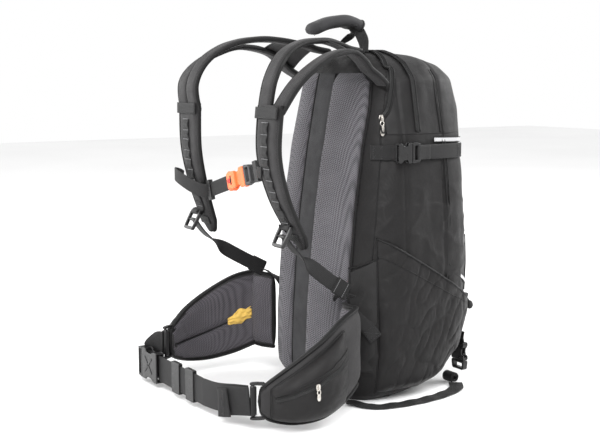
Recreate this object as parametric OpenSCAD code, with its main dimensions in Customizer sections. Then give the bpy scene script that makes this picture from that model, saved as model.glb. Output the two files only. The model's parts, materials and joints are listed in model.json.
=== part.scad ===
// Day touring backpack with a padded back, hip belt, split shoulder straps and a clamshell top.
// +X is the wearer's left, -Y faces the wearer, +Z is up. The pack stands on its base at Z = 0.
// Parts are drawn with the back panel's foot near Y = 0 and moved back so that the base is centred.

/* [Pack body] */
// Height of the pack body
body_h = 476; // [464:2:488]
// Greatest width of the pack body
body_w = 262; // [254:2:268]
// Greatest depth from the back panel to the outer face
body_d = 228; // [220:2:236]
// Thickness of the body fabric with its lining
wall = 3; // [2:0.5:4]
// How far the side pockets stand off the body
pocket_stand = 9; // [8:0.5:12]

/* [Back and harness] */
// Thickness of the mesh back pads
pad_t = 12; // [8:1:14]
// Width of a shoulder strap below its split
strap_w = 58; // [50:1:62]
// Thickness of a shoulder strap
strap_t = 10; // [8:0.5:12]
// Width of one arm of the split shoulder strap
arm_w = 27; // [24:1:28]
// Thickness of the hip belt padding
belt_t = 14; // [10:1:16]

/* [Webbing] */
// Width of the hip belt webbing
hip_web = 38; // [34:1:40]
// Width of the shoulder, compression and carrying webbing
side_web = 20; // [15:1:22]
// Width of the chest strap webbing
chest_web = 20; // [15:1:22]
// Thickness of all webbing
web_t = 1.8; // [1.2:0.1:2]

/* [Hidden] */

FABRIC = "#232122";
EDGE = "#3a3838";
MESH = "#6d6b70";
PLASTIC = "#1c1c1e";
ORANGE = "#ff6a3d";
SILVER = "#c4c4c8";

kx = body_w / 262;
ky = body_d / 228;
kz = body_h / 476;

// Outline of the body from the side, and its half width, as [height, value] pairs
BACK_LINE = [[0, 16], [8, 10], [25, 6], [60, 4], [110, 6], [180, 11], [260, 19], [340, 31],
    [400, 42], [440, 50], [458, 56], [470, 68], [476, 84]];
FRONT_LINE = [[0, 118], [8, 150], [25, 190], [60, 218], [110, 230], [180, 232], [260, 228], [340, 220],
    [400, 220], [440, 209], [458, 192], [470, 164], [476, 130]];
HALF_LINE = [[0, 100], [8, 112], [25, 119], [60, 126], [110, 130], [180, 131], [260, 130], [340, 127],
    [400, 116], [440, 108], [458, 90], [470, 62], [476, 36]];
LEVELS = [for (row = BACK_LINE) row[0] * kz];
MID = 0.4;             // where the body is widest, as a share of its depth
BACK_SQUARE = 2.1;     // how square the back corners are
FRONT_SQUARE = 4;      // how square the front corners are
RING = 40;             // points around the body
GAP = 0.6;             // air between neighbouring soft pieces

function back_y(z) = lookup(z / kz, BACK_LINE) * ky;
function front_y(z) = lookup(z / kz, FRONT_LINE) * ky;
function half_x(z) = lookup(z / kz, HALF_LINE) * kx;
function mid_y(z) = back_y(z) + MID * (front_y(z) - back_y(z));

// Signed power, for the body's squared-off plan
function spow(v, e) = sign(v) * pow(abs(v), e);
function plan_ring(z, at, grow) = [for (i = [0:RING - 1])
    let (a = 360 * i / RING, e = sin(a) > 0 ? FRONT_SQUARE : BACK_SQUARE,
        d = sin(a) > 0 ? front_y(z) - mid_y(z) : mid_y(z) - back_y(z))
    [(half_x(z) + grow) * spow(cos(a), 2 / e), mid_y(z) + (d + grow) * spow(sin(a), 2 / e), at]];
// Distance of the body's side from the middle plane, at depth y and height z
function side_x(y, z) = let (front = y > mid_y(z), e = front ? FRONT_SQUARE : BACK_SQUARE,
        d = front ? front_y(z) - mid_y(z) : mid_y(z) - back_y(z),
        t = min(0.98, abs(y - mid_y(z)) / d))
    half_x(z) * pow(1 - pow(t, e), 1 / e);

function unit(v) = v / norm(v);
function tangents(path) = [for (i = [0:len(path) - 1])
    unit(path[min(i + 1, len(path) - 1)] - path[max(i - 1, 0)])];
// Smooth curve through the points of a route
function curve_point(p, i, t) = let (a = p[max(i - 1, 0)], b = p[i], c = p[i + 1],
        d = p[min(i + 2, len(p) - 1)])
    0.5 * (2 * b + (c - a) * t + (2 * a - 5 * b + 4 * c - d) * t * t + (3 * b - a - 3 * c + d) * t * t * t);
function smooth(p, steps) = [for (i = [0:len(p) - 2], k = [0:steps - 1]) curve_point(p, i, k / steps),
    p[len(p) - 1]];
function mix(a, b, t) = a + (b - a) * t;

// Flat section with chamfered edges, w wide and t thick
function strip(w, t, edge = 0.3) = let (c = edge * t)
    [[-w / 2, -t / 2 + c], [-w / 2 + c, -t / 2], [w / 2 - c, -t / 2], [w / 2, -t / 2 + c],
    [w / 2, t / 2 - c], [w / 2 - c, t / 2], [-w / 2 + c, t / 2], [-w / 2, t / 2 - c]];
// Rings along a route; the profile and its width direction are one for all, or one for each point
function swept(path, profile, wide) = let (t = tangents(path)) [for (i = [0:len(path) - 1])
    let (w0 = is_list(wide[0]) ? wide[i] : wide, w = unit(w0 - t[i] * (w0 * t[i])), n = cross(t[i], w))
    [for (q = is_list(profile[0][0]) ? profile[i] : profile) path[i] + q.x * w + q.y * n]];

// Solid through a stack of rings that all have the same number of points
module ring_solid(rings) {
    n = len(rings[0]);
    m = len(rings);
    sides = [for (j = [0:m - 2], i = [0:n - 1]) let (a = j * n + i, b = j * n + (i + 1) % n)
        each [[a, a + n, b + n], [a, b + n, b]]];
    caps = [[for (i = [0:n - 1]) i], [for (i = [n - 1:-1:0]) (m - 1) * n + i]];
    polyhedron([for (r = rings) each r], concat(sides, caps), convexity = 6);
}

module webbing(path, w, wide, t = web_t) { ring_solid(swept(path, strip(w, t), wide)); }

// Box with its low corner at a and its high corner at b
module span(a, b) { translate(a) cube(b - a); }

module for_side(side) { if (side > 0) children(); else mirror([1, 0, 0]) children(); }

// ---- Body ----

// The body's outer form, grown or shrunk all round
module body_form(grow = 0, lift = 0) {
    squeeze = (body_h - 2 * lift) / body_h;
    ring_solid([for (z = LEVELS) plan_ring(z, lift + z * squeeze, grow)]);
}

LID_Z = 364 * kz;          // lower edge of the clamshell top
ZIP_SIDE_Y = 72;           // main zip on the sides
ZIP_TOP_Y = 104;           // main zip over the top
POCKET_ZIP_Y = 116;        // front pocket zip
FAR = 300;

// Plan of everything in front of the main zip, which runs forward round the haul handle
module front_of_main_zip(shift) {
    sweep = [for (a = [-90:15:90]) [100 * sin(a), ZIP_SIDE_Y + shift + (ZIP_TOP_Y - ZIP_SIDE_Y) * cos(a)]];
    polygon(concat([[FAR, FAR], [-FAR, FAR], [-FAR, ZIP_SIDE_Y + shift]], sweep,
        [[FAR, ZIP_SIDE_Y + shift]]));
}

module lid_zone(shift, base) {
    translate([0, 0, base]) linear_extrude(FAR) front_of_main_zip(shift);
}

module main_shell() {
    color(FABRIC) difference() {
        body_form();
        body_form(-wall, wall);
        lid_zone(-0.5, LID_Z - 0.5);
    }
}

module main_lid() {
    color(FABRIC) intersection() {
        difference() {
            body_form();
            difference() {
                body_form(-wall, wall);
                span([-FAR, POCKET_ZIP_Y - 3, 0], [FAR, POCKET_ZIP_Y, FAR * 2]);
            }
        }
        lid_zone(0.5, LID_Z + 0.5);
        span([-FAR, -FAR, 0], [FAR, POCKET_ZIP_Y - 0.5, FAR * 2]);
    }
}

module front_lid() {
    color(FABRIC) intersection() {
        difference() {
            body_form();
            body_form(-wall, wall);
        }
        span([-FAR, POCKET_ZIP_Y + 0.5, LID_Z + 0.5], [FAR, FAR, FAR * 2]);
    }
}

module compartment_divider() {
    color(EDGE) intersection() {
        body_form(-wall - GAP, wall + GAP);
        span([-FAR, POCKET_ZIP_Y - 2, 70], [FAR, POCKET_ZIP_Y, LID_Z - 8]);
    }
}

// Distance of the back panel's surface behind its own middle, at x off the middle plane
function back_sag(x, z) = (mid_y(z) - back_y(z)) * (1 - pow(1 - pow(abs(x) / half_x(z), BACK_SQUARE),
    1 / BACK_SQUARE));

// Sheet that follows the back panel, from offset near to offset far behind it
function back_heights(low, high) = concat([low], [for (z = LEVELS) if (z > low && z < high) z], [high]);
module back_slab(x0, x1, low, high, near, far) {
    ring_solid([for (z = back_heights(low, high))
        [[x0, back_y(z) + near, z], [x1, back_y(z) + near, z], [x1, back_y(z) + far, z],
        [x0, back_y(z) + far, z]]]);
}

module back_board() { color("#4a494b") back_slab(-17, 17, 26, 436, -2.5, -GAP); }
module frame_sheet() {
    color("#d8d8d4") intersection() {
        difference() {
            body_form(-wall - GAP, wall);
            body_form(-wall - GAP - 1.5, wall);
        }
        span([-78, 0, 34], [78, 70, 424]);
    }
}
module frame_stays() {
    color(SILVER) for (x = [-42, 22]) back_slab(x, x + 20, 40, 420, wall + 7.5, wall + 10.5);
}
module laptop_sleeve() { color(EDGE) back_slab(-92, 92, 34, 330, wall + 30, wall + 31.5); }

// Mesh pad beside the central channel: its edges off the middle plane, by height
PAD_IN = [[14, 23], [60, 19], [448, 22]];
PAD_OUT = [[14, 72], [40, 82], [90, 86], [330, 86], [400, 84], [436, 80], [448, 66]];
PAD_CROWN = [[0, 0.5], [0.12, 0.92], [0.35, 1.05], [0.65, 1.05], [0.88, 0.9], [1, 0.45]];
module back_pad() {
    color(MESH) difference() {
        ring_solid([for (z = back_heights(14, 448))
            let (a = lookup(z, PAD_IN), b = lookup(z, PAD_OUT))
            concat([[a, back_y(z) + 6, z]],
                [for (q = PAD_CROWN) let (x = mix(a, b, q[0])) [x, back_y(z) + back_sag(x, z) - q[1] * pad_t, z]],
                [[b, back_y(z) + back_sag(b, z) + 6, z]])]);
        body_form(GAP);
    }
}
module back_pad_left() { back_pad(); }
module back_pad_right() { mirror([1, 0, 0]) back_pad(); }

// Short ends of the shoulder straps, sewn to the top edge of the back
INNER_ROOT = [[41, 41, 484], [39, 56, 479], [37, 74, 478]];
OUTER_ROOT = [[102, 55, 446], [101, 60, 440], [100, 66, 432]];
module yoke_panel() {
    color(EDGE) for (side = [-1, 1]) for_side(side) difference() {
        union() {
            ring_solid(swept(INNER_ROOT, strip(arm_w, 5), [1, 0, 0]));
            ring_solid(swept(OUTER_ROOT, strip(arm_w - 4, 5), [1, 0, 0]));
        }
        body_form(GAP);
    }
}

// Side pocket with a slanting mouth, high at the back
POCKET_BACK_Y = 54;
POCKET_FRONT_Y = 208;
module pocket_face(inset, over) {
    b = POCKET_BACK_Y + inset;
    f = POCKET_FRONT_Y - inset;
    translate([70, 0, 0]) rotate([90, 0, 90]) linear_extrude(FAR)
        polygon([[b, 12 + inset], [150 - inset, 12 + inset], [194 - inset, 50], [f, 100], [f, 132 + over],
            [b, 226 + over]]);
}
module side_pocket() {
    color(FABRIC) difference() {
        intersection() {
            body_form(pocket_stand);
            pocket_face(0, 0);
        }
        body_form(GAP);
        intersection() {
            body_form(pocket_stand - 2);
            pocket_face(4, 60);
        }
    }
}
module side_pocket_left() { side_pocket(); }
module side_pocket_right() { mirror([1, 0, 0]) side_pocket(); }

// Triangular fin that ties the belt and the strap webbing to the side of the pack
module hip_fin() {
    color(FABRIC) difference() {
        intersection() {
            body_form(2.4);
            translate([90, 0, 0]) rotate([90, 0, 90]) linear_extrude(FAR)
                polygon([[24, 40], [POCKET_BACK_Y - 0.5, 40], [POCKET_BACK_Y - 0.5, 196], [24, 172]]);
        }
        body_form(GAP);
    }
}
module hip_fin_left() { hip_fin(); }
module hip_fin_right() { mirror([1, 0, 0]) hip_fin(); }

// ---- Side compression straps ----

COMP_Z = 341;
COMP_LATCH_Y = 96;
function comp_x(y) = side_x(y, COMP_Z - 12) + 2.4;
module level_webbing(at) { webbing([for (y = at) [comp_x(y), y, COMP_Z]], side_web, [0, 0, 1]); }
module side_webbing() { color(PLASTIC) level_webbing([54, 60, 66, 71, 75.5]); }
module side_webbing_left() { side_webbing(); }
module side_webbing_right() { mirror([1, 0, 0]) side_webbing(); }

// Side-release socket along +Y with its mouth at y = 0, sized for webbing w
module socket_body(w, depth, t) {
    difference() {
        union() {
            span([-t / 2, -depth, -w / 2 - 4], [t / 2, 0, w / 2 + 4]);
            for (z = [-1, 1]) translate([0, -depth / 2, z * (w / 2 + 1)]) rotate([0, 90, 0])
                cylinder(h = t, r = depth / 6, center = true, $fn = 32);
        }
        // Mouth for the plug
        span([-t / 2 + 2, -depth + 8, -w / 2 - 1.5], [t / 2 - 2, 1, w / 2 + 1.5]);
        // Windows where the prongs show and are squeezed
        for (z = [-1, 1]) translate([0, -depth / 2, z * (w / 2 + 6)])
            cube([t - 4, depth / 2.4, 12], center = true);
        // Webbing slot through the closed end
        span([-t / 2 + 3, -depth - 1, -w / 2 - 0.5], [t / 2 - 3, -depth + 9, w / 2 + 0.5]);
    }
}

// Plug that enters a socket at y = 0 and reaches in by its prong length
module plug_body(w, reach, t, prongs = true) {
    difference() {
        span([-t / 2, 1, -w / 2 - 4], [t / 2, 15, w / 2 + 4]);
        span([-t / 2 - 1, 5, -w / 2 - 0.5], [t / 2 + 1, 11, w / 2 + 0.5]);
    }
    span([-t / 2 + 3, -reach * 0.7, -2], [t / 2 - 3, 1, 2]);
    if (prongs) for (z = [-1, 1]) prong(w, reach, t, z);
}

// One springy arm of a plug
module prong(w, reach, t, z) {
    span([-t / 2 + 3, -reach, z > 0 ? w / 2 - 5 : -w / 2 + 0.5],
        [t / 2 - 3, 1, z > 0 ? w / 2 - 0.5 : -w / 2 + 5]);
}

SIDE_T = 9;
module on_side() { translate([side_x(COMP_LATCH_Y, COMP_Z - 16) + 1.6 + SIDE_T / 2, COMP_LATCH_Y, COMP_Z]) children(); }
module side_socket() { color(PLASTIC) on_side() socket_body(side_web, 20, SIDE_T); }
module side_plug() {
    color(PLASTIC) {
        on_side() plug_body(side_web, 10, SIDE_T);
        level_webbing([111.5, 124, 138, 152, 166, 176, 184, 190, 195]);
    }
}
module side_socket_left() { side_socket(); }
module side_socket_right() { mirror([1, 0, 0]) side_socket(); }
module side_plug_left() { side_plug(); }
module side_plug_right() { mirror([1, 0, 0]) side_plug(); }

// Reflective tape: one level strip and one slanting strip on each side of the outer face
TAPES = [[[142, 355], [206, 353]], [[166, 178], [213, 150]]];
module reflective_trim() {
    color(SILVER) difference() {
        body_form(1);
        body_form(0.2);
        difference() {
            span([-FAR, -FAR, -1], [FAR, FAR, 2 * FAR]);
            for (t = TAPES) rotate([90, 0, 90]) linear_extrude(2 * FAR, center = true)
                polygon([t[0], t[1], t[1] + [0, 5], t[0] + [0, 5]]);
        }
    }
}

// ---- Zip sliders ----

// Slider with its pull hanging down, flat against a side at x = 0
module slider(drop) {
    color(SILVER) {
        span([0, -3.5, -5], [4, 3.5, 6]);
        difference() {
            span([4.5, -3, -drop], [6, 3, 2]);
            span([3, -1.5, -drop + 3], [7, 1.5, -drop + 9]);
        }
        span([4, -1, -2], [4.5, 1, 0]);
    }
}
MAIN_SLIDER_Z = 386;
module main_slider() {
    y = ZIP_SIDE_Y - 4.5;
    translate([side_x(y, MAIN_SLIDER_Z - 24) + 0.8, y, MAIN_SLIDER_Z]) slider(24);
}
module main_slider_left() { main_slider(); }
module main_slider_right() { mirror([1, 0, 0]) main_slider(); }
FRONT_SLIDER_Z = 404;
module front_slider() {
    y = POCKET_ZIP_Y - 4.5;
    mirror([1, 0, 0]) translate([side_x(y, FRONT_SLIDER_Z - 24) + 0.8, y, FRONT_SLIDER_Z]) slider(24);
}
// Slider of the raincover pocket, low on the outer face, with a round pull
RAIN_AT = [100, 219.6, 122];
module raincover_slider() {
    translate(RAIN_AT) {
        color(SILVER) span([-4, 0, -4], [4, 5, 4]);
        color(PLASTIC) translate([0, 9.5, -8]) {
            sphere(r = 6.5, $fn = 32);
            span([-1, -4.5, 0], [1, -2, 8.5]);
        }
    }
}

// ---- Carrying strap under the base ----

// Mouth of the hanging buckle, low on the outer face
BOTTOM_AT = [88, 222, 32];
BOTTOM_DEPTH = 26;
// The strap leaves the base at the back corner, lies on the floor beside the pack and ends in a roll
BOTTOM_ROUTE = [[108, 24, 1.4], [136, 38, 1.4], [146, 84, 1.4], [142, 140, 1.4], [126, 184, 1.4], [104, 206, 1.4]];
BOTTOM_ROLL = [89, 205, 8.2];
module hanging() { translate(BOTTOM_AT) rotate([-90, 0, -90]) children(); }
module bottom_strap() {
    route = smooth(BOTTOM_ROUTE, 4);
    color(PLASTIC) {
        webbing(route, side_web, [for (t = tangents(route)) [t.y, -t.x, 0]]);
        translate(BOTTOM_ROLL) rotate([0, 90, 0]) cylinder(h = side_web, r = 7.6, center = true, $fn = 32);
    }
}
module bottom_socket() { color(PLASTIC) hanging() socket_body(side_web, BOTTOM_DEPTH, SIDE_T); }
module bottom_plug() { color(PLASTIC) hanging() plug_body(side_web, 10, SIDE_T); }

// ---- Haul handle ----

HAUL_Y = 88;
HAUL_Z = 482;
module haul_webbing() {
    leg = smooth([[34, HAUL_Y, HAUL_Z - 3], [27, 92, 490], [13, 97, 500], [7.5, 98, 505]], 4);
    last = len(leg) - 1;
    turn = [for (i = [0:last]) mix([1, 0.3, 0.4], [0.3, 1, 0.4], i / last)];
    color(PLASTIC) for (side = [-1, 1]) for_side(side) webbing(leg, side_web - 4, turn);
}
module haul_grip() {
    color(EDGE) ring_solid(swept(smooth([[0, 98, 514], [0, 78, 519], [0, 48, 515], [0, 20, 505]], 4),
        [for (a = [0:30:330]) [15 * cos(a), 8.5 * sin(a)]], [1, 0, 0]));
}

// ---- Hip belt ----

HIP = [138, 6];            // vertical hinge where a belt wing meets the pack
TIP = [130, -146];         // vertical bar that carries the belt webbing
// Belt wing from its root to its tip: plan position, top and lower edge
WING = [[138, 6, 140, 40], [150, -25, 130, 22], [158, -62, 108, 10], [154, -100, 84, 8], [141, -128, 62, 14]];
WING_STEPS = 4;
RIGHT_RISE = 22;           // how much higher the right wing's tip sits

// Rings along a wing between shares a and b of its length, near to far out from its middle
// surface; the edges are held in by low_in and top_in, and far may grow by a bulge
function wing_rings(rise, a, b, near, far, low_in, top_in, bulge = 0) =
    let (p = smooth(WING, WING_STEPS), m = len(p) - 1)
    [for (i = [round(a * m):round(b * m)])
        let (s = i / m, q = p[i], t = unit([for (k = [0, 1]) p[min(i + 1, m)][k] - p[max(i - 1, 0)][k]]),
            out = [-t.y, t.x, 0], low = q[3] + rise * s + low_in, top = q[2] + rise * mix(0.45, 1, s) - top_in,
            f = far + bulge * sin(180 * (s - a) / (b - a)), c = min(4, (f - near) / 3),
            at = [q.x, q.y, 0])
        [at + out * f + [0, 0, low + c], at + out * f + [0, 0, top - c],
        at + out * (f - c) + [0, 0, top], at + out * (near + c) + [0, 0, top],
        at + out * near + [0, 0, top - c], at + out * near + [0, 0, low + c],
        at + out * (near + c) + [0, 0, low], at + out * (f - c) + [0, 0, low]]];

module belt_wing(rise) {
    color(EDGE) ring_solid(wing_rings(rise, 0, 1, -belt_t / 2, belt_t / 2, 0, 0));
}
// Fixed stretch of belt padding between the back pad and the wing's hinge
BASE_PLAN = [[92, 12, 0], [108, 6, 0], [120, 3, 0], [128.5, 3, 0]];
module belt_base(rise) {
    low = WING[0][3];
    h = WING[0][2] + rise * 0.45 - low;
    color(EDGE) difference() {
        ring_solid(swept([for (p = smooth(BASE_PLAN, 3)) p + [0, 0, low + h / 2]], strip(h, belt_t), [0, 0, 1]));
        body_form(GAP);
    }
}
module belt_base_left() { belt_base(0); }
module belt_base_right() { mirror([1, 0, 0]) belt_base(RIGHT_RISE); }
module belt_wing_left() { belt_wing(0); }
module belt_wing_right() { mirror([1, 0, 0]) belt_wing(RIGHT_RISE); }

// Zipped pouch on the outside of a wing, open inside towards the wing
module belt_pocket(rise) {
    color(FABRIC) difference() {
        ring_solid(wing_rings(rise, 0.25, 0.9, belt_t / 2 + GAP, belt_t / 2 + 8, 3, 10, 16));
        ring_solid(wing_rings(rise, 0.31, 0.81, belt_t / 2 - 2, belt_t / 2 + 9, 7, 14, 9));
    }
}
module belt_pocket_left() { belt_pocket(0); }
module belt_pocket_right() { mirror([1, 0, 0]) belt_pocket(RIGHT_RISE); }

BELT_SLIDER_AT = [190.5, -84, 72];
module belt_slider(rise) { translate(BELT_SLIDER_AT + [0, 0, rise]) slider(14); }
module belt_slider_left() { belt_slider(0); }
module belt_slider_right() { mirror([1, 0, 0]) belt_slider(RIGHT_RISE * 0.7); }

// Frame at the tip of a wing with the bar that the webbing turns round
LOCK_Z = 38;
LOCK_TURN = -31;
BAR_R = 2.4;
module ladder_lock(rise) {
    h = hip_web / 2;
    color(PLASTIC) translate([TIP.x, TIP.y, LOCK_Z + rise]) rotate([0, 0, LOCK_TURN]) {
        cylinder(h = 2 * h + 4, r = BAR_R, center = true, $fn = 32);
        for (z = [-h - 5, h + 1]) span([-4, -4, z], [4, 14, z + 4]);
        span([-4, 12, -h - 5], [4, 18.5, h + 5]);
    }
}
module ladder_lock_left() { ladder_lock(0); }
module ladder_lock_right() { mirror([1, 0, 0]) ladder_lock(RIGHT_RISE); }

// Turn of webbing round a ladder lock's bar, with 0.6 mm to spare
module bar_turn(at) {
    translate(at) difference() {
        cylinder(h = hip_web - 1, r = BAR_R + 0.6 + web_t, center = true, $fn = 48);
        cylinder(h = hip_web + 1, r = BAR_R + 0.6, center = true, $fn = 48);
    }
}

HIP_MOUTH = -158;          // where the hip plug enters its socket
HIP_Y = -165;
HIP_Z = 29;
HIP_T = 13;
HIP_DEPTH = 50;
HIP_REACH = 34;
module belt_webbing_left() {
    run = smooth([[TIP.x - 4, TIP.y, 38], [104, -154, 36], [66, -162, 30.5], [34, HIP_Y, HIP_Z], [20, HIP_Y, HIP_Z],
        [-40, HIP_Y, HIP_Z], [-112, HIP_Y, HIP_Z]], 3);
    tail = smooth([[118, -156.5, 36], [104, -160.5, 34], [84, -166, 29]], 3);
    color(PLASTIC) {
        webbing(run, hip_web - 1, [0, 0, 1]);
        webbing(tail, hip_web - 1, [0, 0, 1]);
        bar_turn([TIP.x, TIP.y, LOCK_Z]);
    }
}
module belt_webbing_right() {
    run = smooth([[-TIP.x - 3.8, TIP.y - 3.4, LOCK_Z + RIGHT_RISE], [-140, -151.7, 59.4], [-149, -154, 52],
        [-159, -155.8, 40], [-171, -156.6, HIP_Z + 1]], 3);
    color(PLASTIC) {
        webbing(run, hip_web - 6, [0, 0, 1]);
        bar_turn([-TIP.x, TIP.y, LOCK_Z + RIGHT_RISE]);
    }
}
module belt_keepers() {
    color(PLASTIC) for (x = [-64, -20]) difference() {
        span([x, HIP_Y - 3, HIP_Z - 22], [x + 24, HIP_Y + 3, HIP_Z + 22]);
        span([x - 1, HIP_Y - 1.7, HIP_Z - 19.6], [x + 25, HIP_Y + 1.7, HIP_Z + 19.6]);
    }
}
module at_hip() { translate([HIP_MOUTH, HIP_Y, HIP_Z]) rotate([0, 0, 90]) children(); }
module hip_socket() { color(PLASTIC) at_hip() socket_body(hip_web, HIP_DEPTH, HIP_T); }
module hip_plug() {
    color(PLASTIC) at_hip() plug_body(hip_web, HIP_REACH, HIP_T, false);
}
PRONG_GAP = 0.6;
module hip_prong(z) {
    color(PLASTIC) at_hip() translate([0, -PRONG_GAP, 0]) prong(hip_web, HIP_REACH - 4, HIP_T, z);
}
module hip_prong_upper() { hip_prong(1); }
module hip_prong_lower() { hip_prong(-1); }

// ---- Shoulder straps ----

// Routes of the left and right strap; the right one bows further forward
PAD_ROUTES = [[[95, -97, 406], [96, -101, 345], [100, -90, 292], [105, -72, 250], [108, -56, 222]],
    [[95, -118, 406], [96, -117, 345], [100, -105, 292], [105, -90, 250], [107, -79, 222]]];
INNER_ARMS = [[[81, -98, 396], [74, -86, 436], [63, -62, 468], [53, -30, 485], [46, 8, 490], [42, 32, 487]],
    [[81, -117, 396], [78, -122, 432], [72, -106, 464], [62, -72, 486], [52, -24, 494], [42, 32, 487]]];
OUTER_ARMS = [[[110, -97, 396], [116, -70, 436], [117, -28, 466], [112, 8, 474], [107, 30, 465], [103, 44, 453]],
    [[110, -117, 396], [114, -116, 436], [113, -86, 466], [109, -36, 484], [106, 16, 476], [103, 44, 453]]];
PAD_STEPS = 4;
TIP_WIDTH = 0.62;          // strap width at its lower tip, as a share of its full width
module shoulder_strap(k) {
    pad = smooth(PAD_ROUTES[k], PAD_STEPS);
    last = len(pad) - 1;
    color(EDGE) {
        ring_solid(swept(pad, [for (i = [0:last]) strip(strap_w * mix(1, TIP_WIDTH, pow(i / last, 2)), strap_t)],
            [1, 0, 0]));
        for (arm = [INNER_ARMS[k], OUTER_ARMS[k]])
            ring_solid(swept(smooth(arm, 3), strip(arm_w, strap_t - 2), [1, 0, 0]));
    }
}
module strap_left() { shoulder_strap(0); }
module strap_right() { mirror([1, 0, 0]) shoulder_strap(1); }

STRAP_FOOT = [112, 8, 157];        // where the lower webbing is sewn to the pack
LOWER_ROUTES = [[[109, -69, 217], [111, -48, 198], [112, -20, 176], STRAP_FOOT],
    [[109, -90, 217], [111, -62, 196], [112, -26, 175], STRAP_FOOT]];
module strap_webbing(k) { color(PLASTIC) webbing(smooth(LOWER_ROUTES[k], 4), side_web, [1, 0, 0]); }
module strap_webbing_left() { strap_webbing(0); }
module strap_webbing_right() { mirror([1, 0, 0]) strap_webbing(1); }

// Three-bar ladder lock in front of the strap's end, tilting on its upper bar
BUCKLES_AT = [[109, -84, 250], [109, -104, 250]];
BUCKLE_LEAN = -28;
module strap_buckle(k) {
    h = side_web / 2;
    color(PLASTIC) translate(BUCKLES_AT[k]) rotate([BUCKLE_LEAN, 0, 0]) {
        for (x = [-h - 4, h + 1]) span([x, -2.5, -26], [x + 3, 2.5, 2]);
        for (z = [0, -12, -24]) translate([0, 0, z]) rotate([0, 90, 0])
            cylinder(h = side_web + 4, r = 2, center = true, $fn = 32);
    }
}
module strap_buckle_left() { strap_buckle(0); }
module strap_buckle_right() { mirror([1, 0, 0]) strap_buckle(1); }

// ---- Chest strap ----

CHEST_FROM = [-59, -106, 286];
CHEST_TO = [59, -98, 320];
CHEST_SPAN = CHEST_TO - CHEST_FROM;
CHEST_T = 9;
CHEST_DEPTH = 40;
CHEST_MOUTH = 34;
CHEST_HALF = norm(CHEST_SPAN) / 2;
module at_chest() {
    translate((CHEST_FROM + CHEST_TO) / 2)
        rotate([asin(CHEST_SPAN.z / norm(CHEST_SPAN)), 0, -atan2(CHEST_SPAN.x, CHEST_SPAN.y)]) children();
}
module chest_slider(from, to) {
    h = chest_web / 2;
    color(PLASTIC) at_chest() difference() {
        span([-3, from, -h - 4], [3, to, h + 4]);
        span([-1.5, from - 1, -h - 0.5], [1.5, to + 1, h + 0.5]);
    }
}
module chest_slider_left() { chest_slider(CHEST_HALF - 4, CHEST_HALF + 4); }
module chest_slider_right() { chest_slider(-CHEST_HALF - 4, -CHEST_HALF + 4); }
module chest_webbing() {
    curl = smooth([[-66.5, -114, 285], [-84, -122, 290], [-108, -128, 299], [-128, -127, 304], [-139, -119, 303],
        [-134, -112, 299]], 4);
    color(PLASTIC) {
        at_chest() span([-web_t / 2, -CHEST_HALF + 4.5, -chest_web / 2], [web_t / 2, -2, chest_web / 2]);
        webbing(curl, chest_web - 2, [0, 0, 1]);
    }
}
module chest_socket() {
    color(ORANGE) at_chest() translate([0, CHEST_MOUTH, 0]) socket_body(chest_web, CHEST_DEPTH, CHEST_T);
}
module chest_plug() {
    color(EDGE) at_chest() {
        translate([0, CHEST_MOUTH, 0]) plug_body(chest_web, 16, CHEST_T);
        span([-web_t / 2, CHEST_MOUTH + 15, -chest_web / 2], [web_t / 2, CHEST_HALF - 10, chest_web / 2]);
    }
}

// The origin is under the middle of the base
BASE_Y = 66;
translate([0, -BASE_Y, 0]) {
    main_shell();
    back_board();
    frame_sheet();
    frame_stays();
    back_pad_left();
    back_pad_right();
    yoke_panel();
    compartment_divider();
    laptop_sleeve();
    side_pocket_left();
    side_pocket_right();
    hip_fin_left();
    hip_fin_right();
    belt_base_left();
    belt_base_right();
    side_webbing_left();
    side_webbing_right();
    side_socket_left();
    side_socket_right();
    side_plug_left();
    side_plug_right();
    reflective_trim();
    bottom_strap();
    bottom_socket();
    bottom_plug();
    raincover_slider();
    main_lid();
    front_lid();
    main_slider_left();
    main_slider_right();
    front_slider();
    haul_webbing();
    haul_grip();
    belt_wing_left();
    belt_wing_right();
    belt_pocket_left();
    belt_pocket_right();
    belt_slider_left();
    belt_slider_right();
    ladder_lock_left();
    ladder_lock_right();
    belt_webbing_left();
    belt_webbing_right();
    belt_keepers();
    hip_socket();
    hip_plug();
    hip_prong_upper();
    hip_prong_lower();
    strap_left();
    strap_right();
    strap_webbing_left();
    strap_webbing_right();
    strap_buckle_left();
    strap_buckle_right();
    chest_slider_left();
    chest_slider_right();
    chest_webbing();
    chest_socket();
    chest_plug();
}
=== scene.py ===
"""Touring backpack: soft goods, trims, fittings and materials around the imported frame."""

import json
import math

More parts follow.
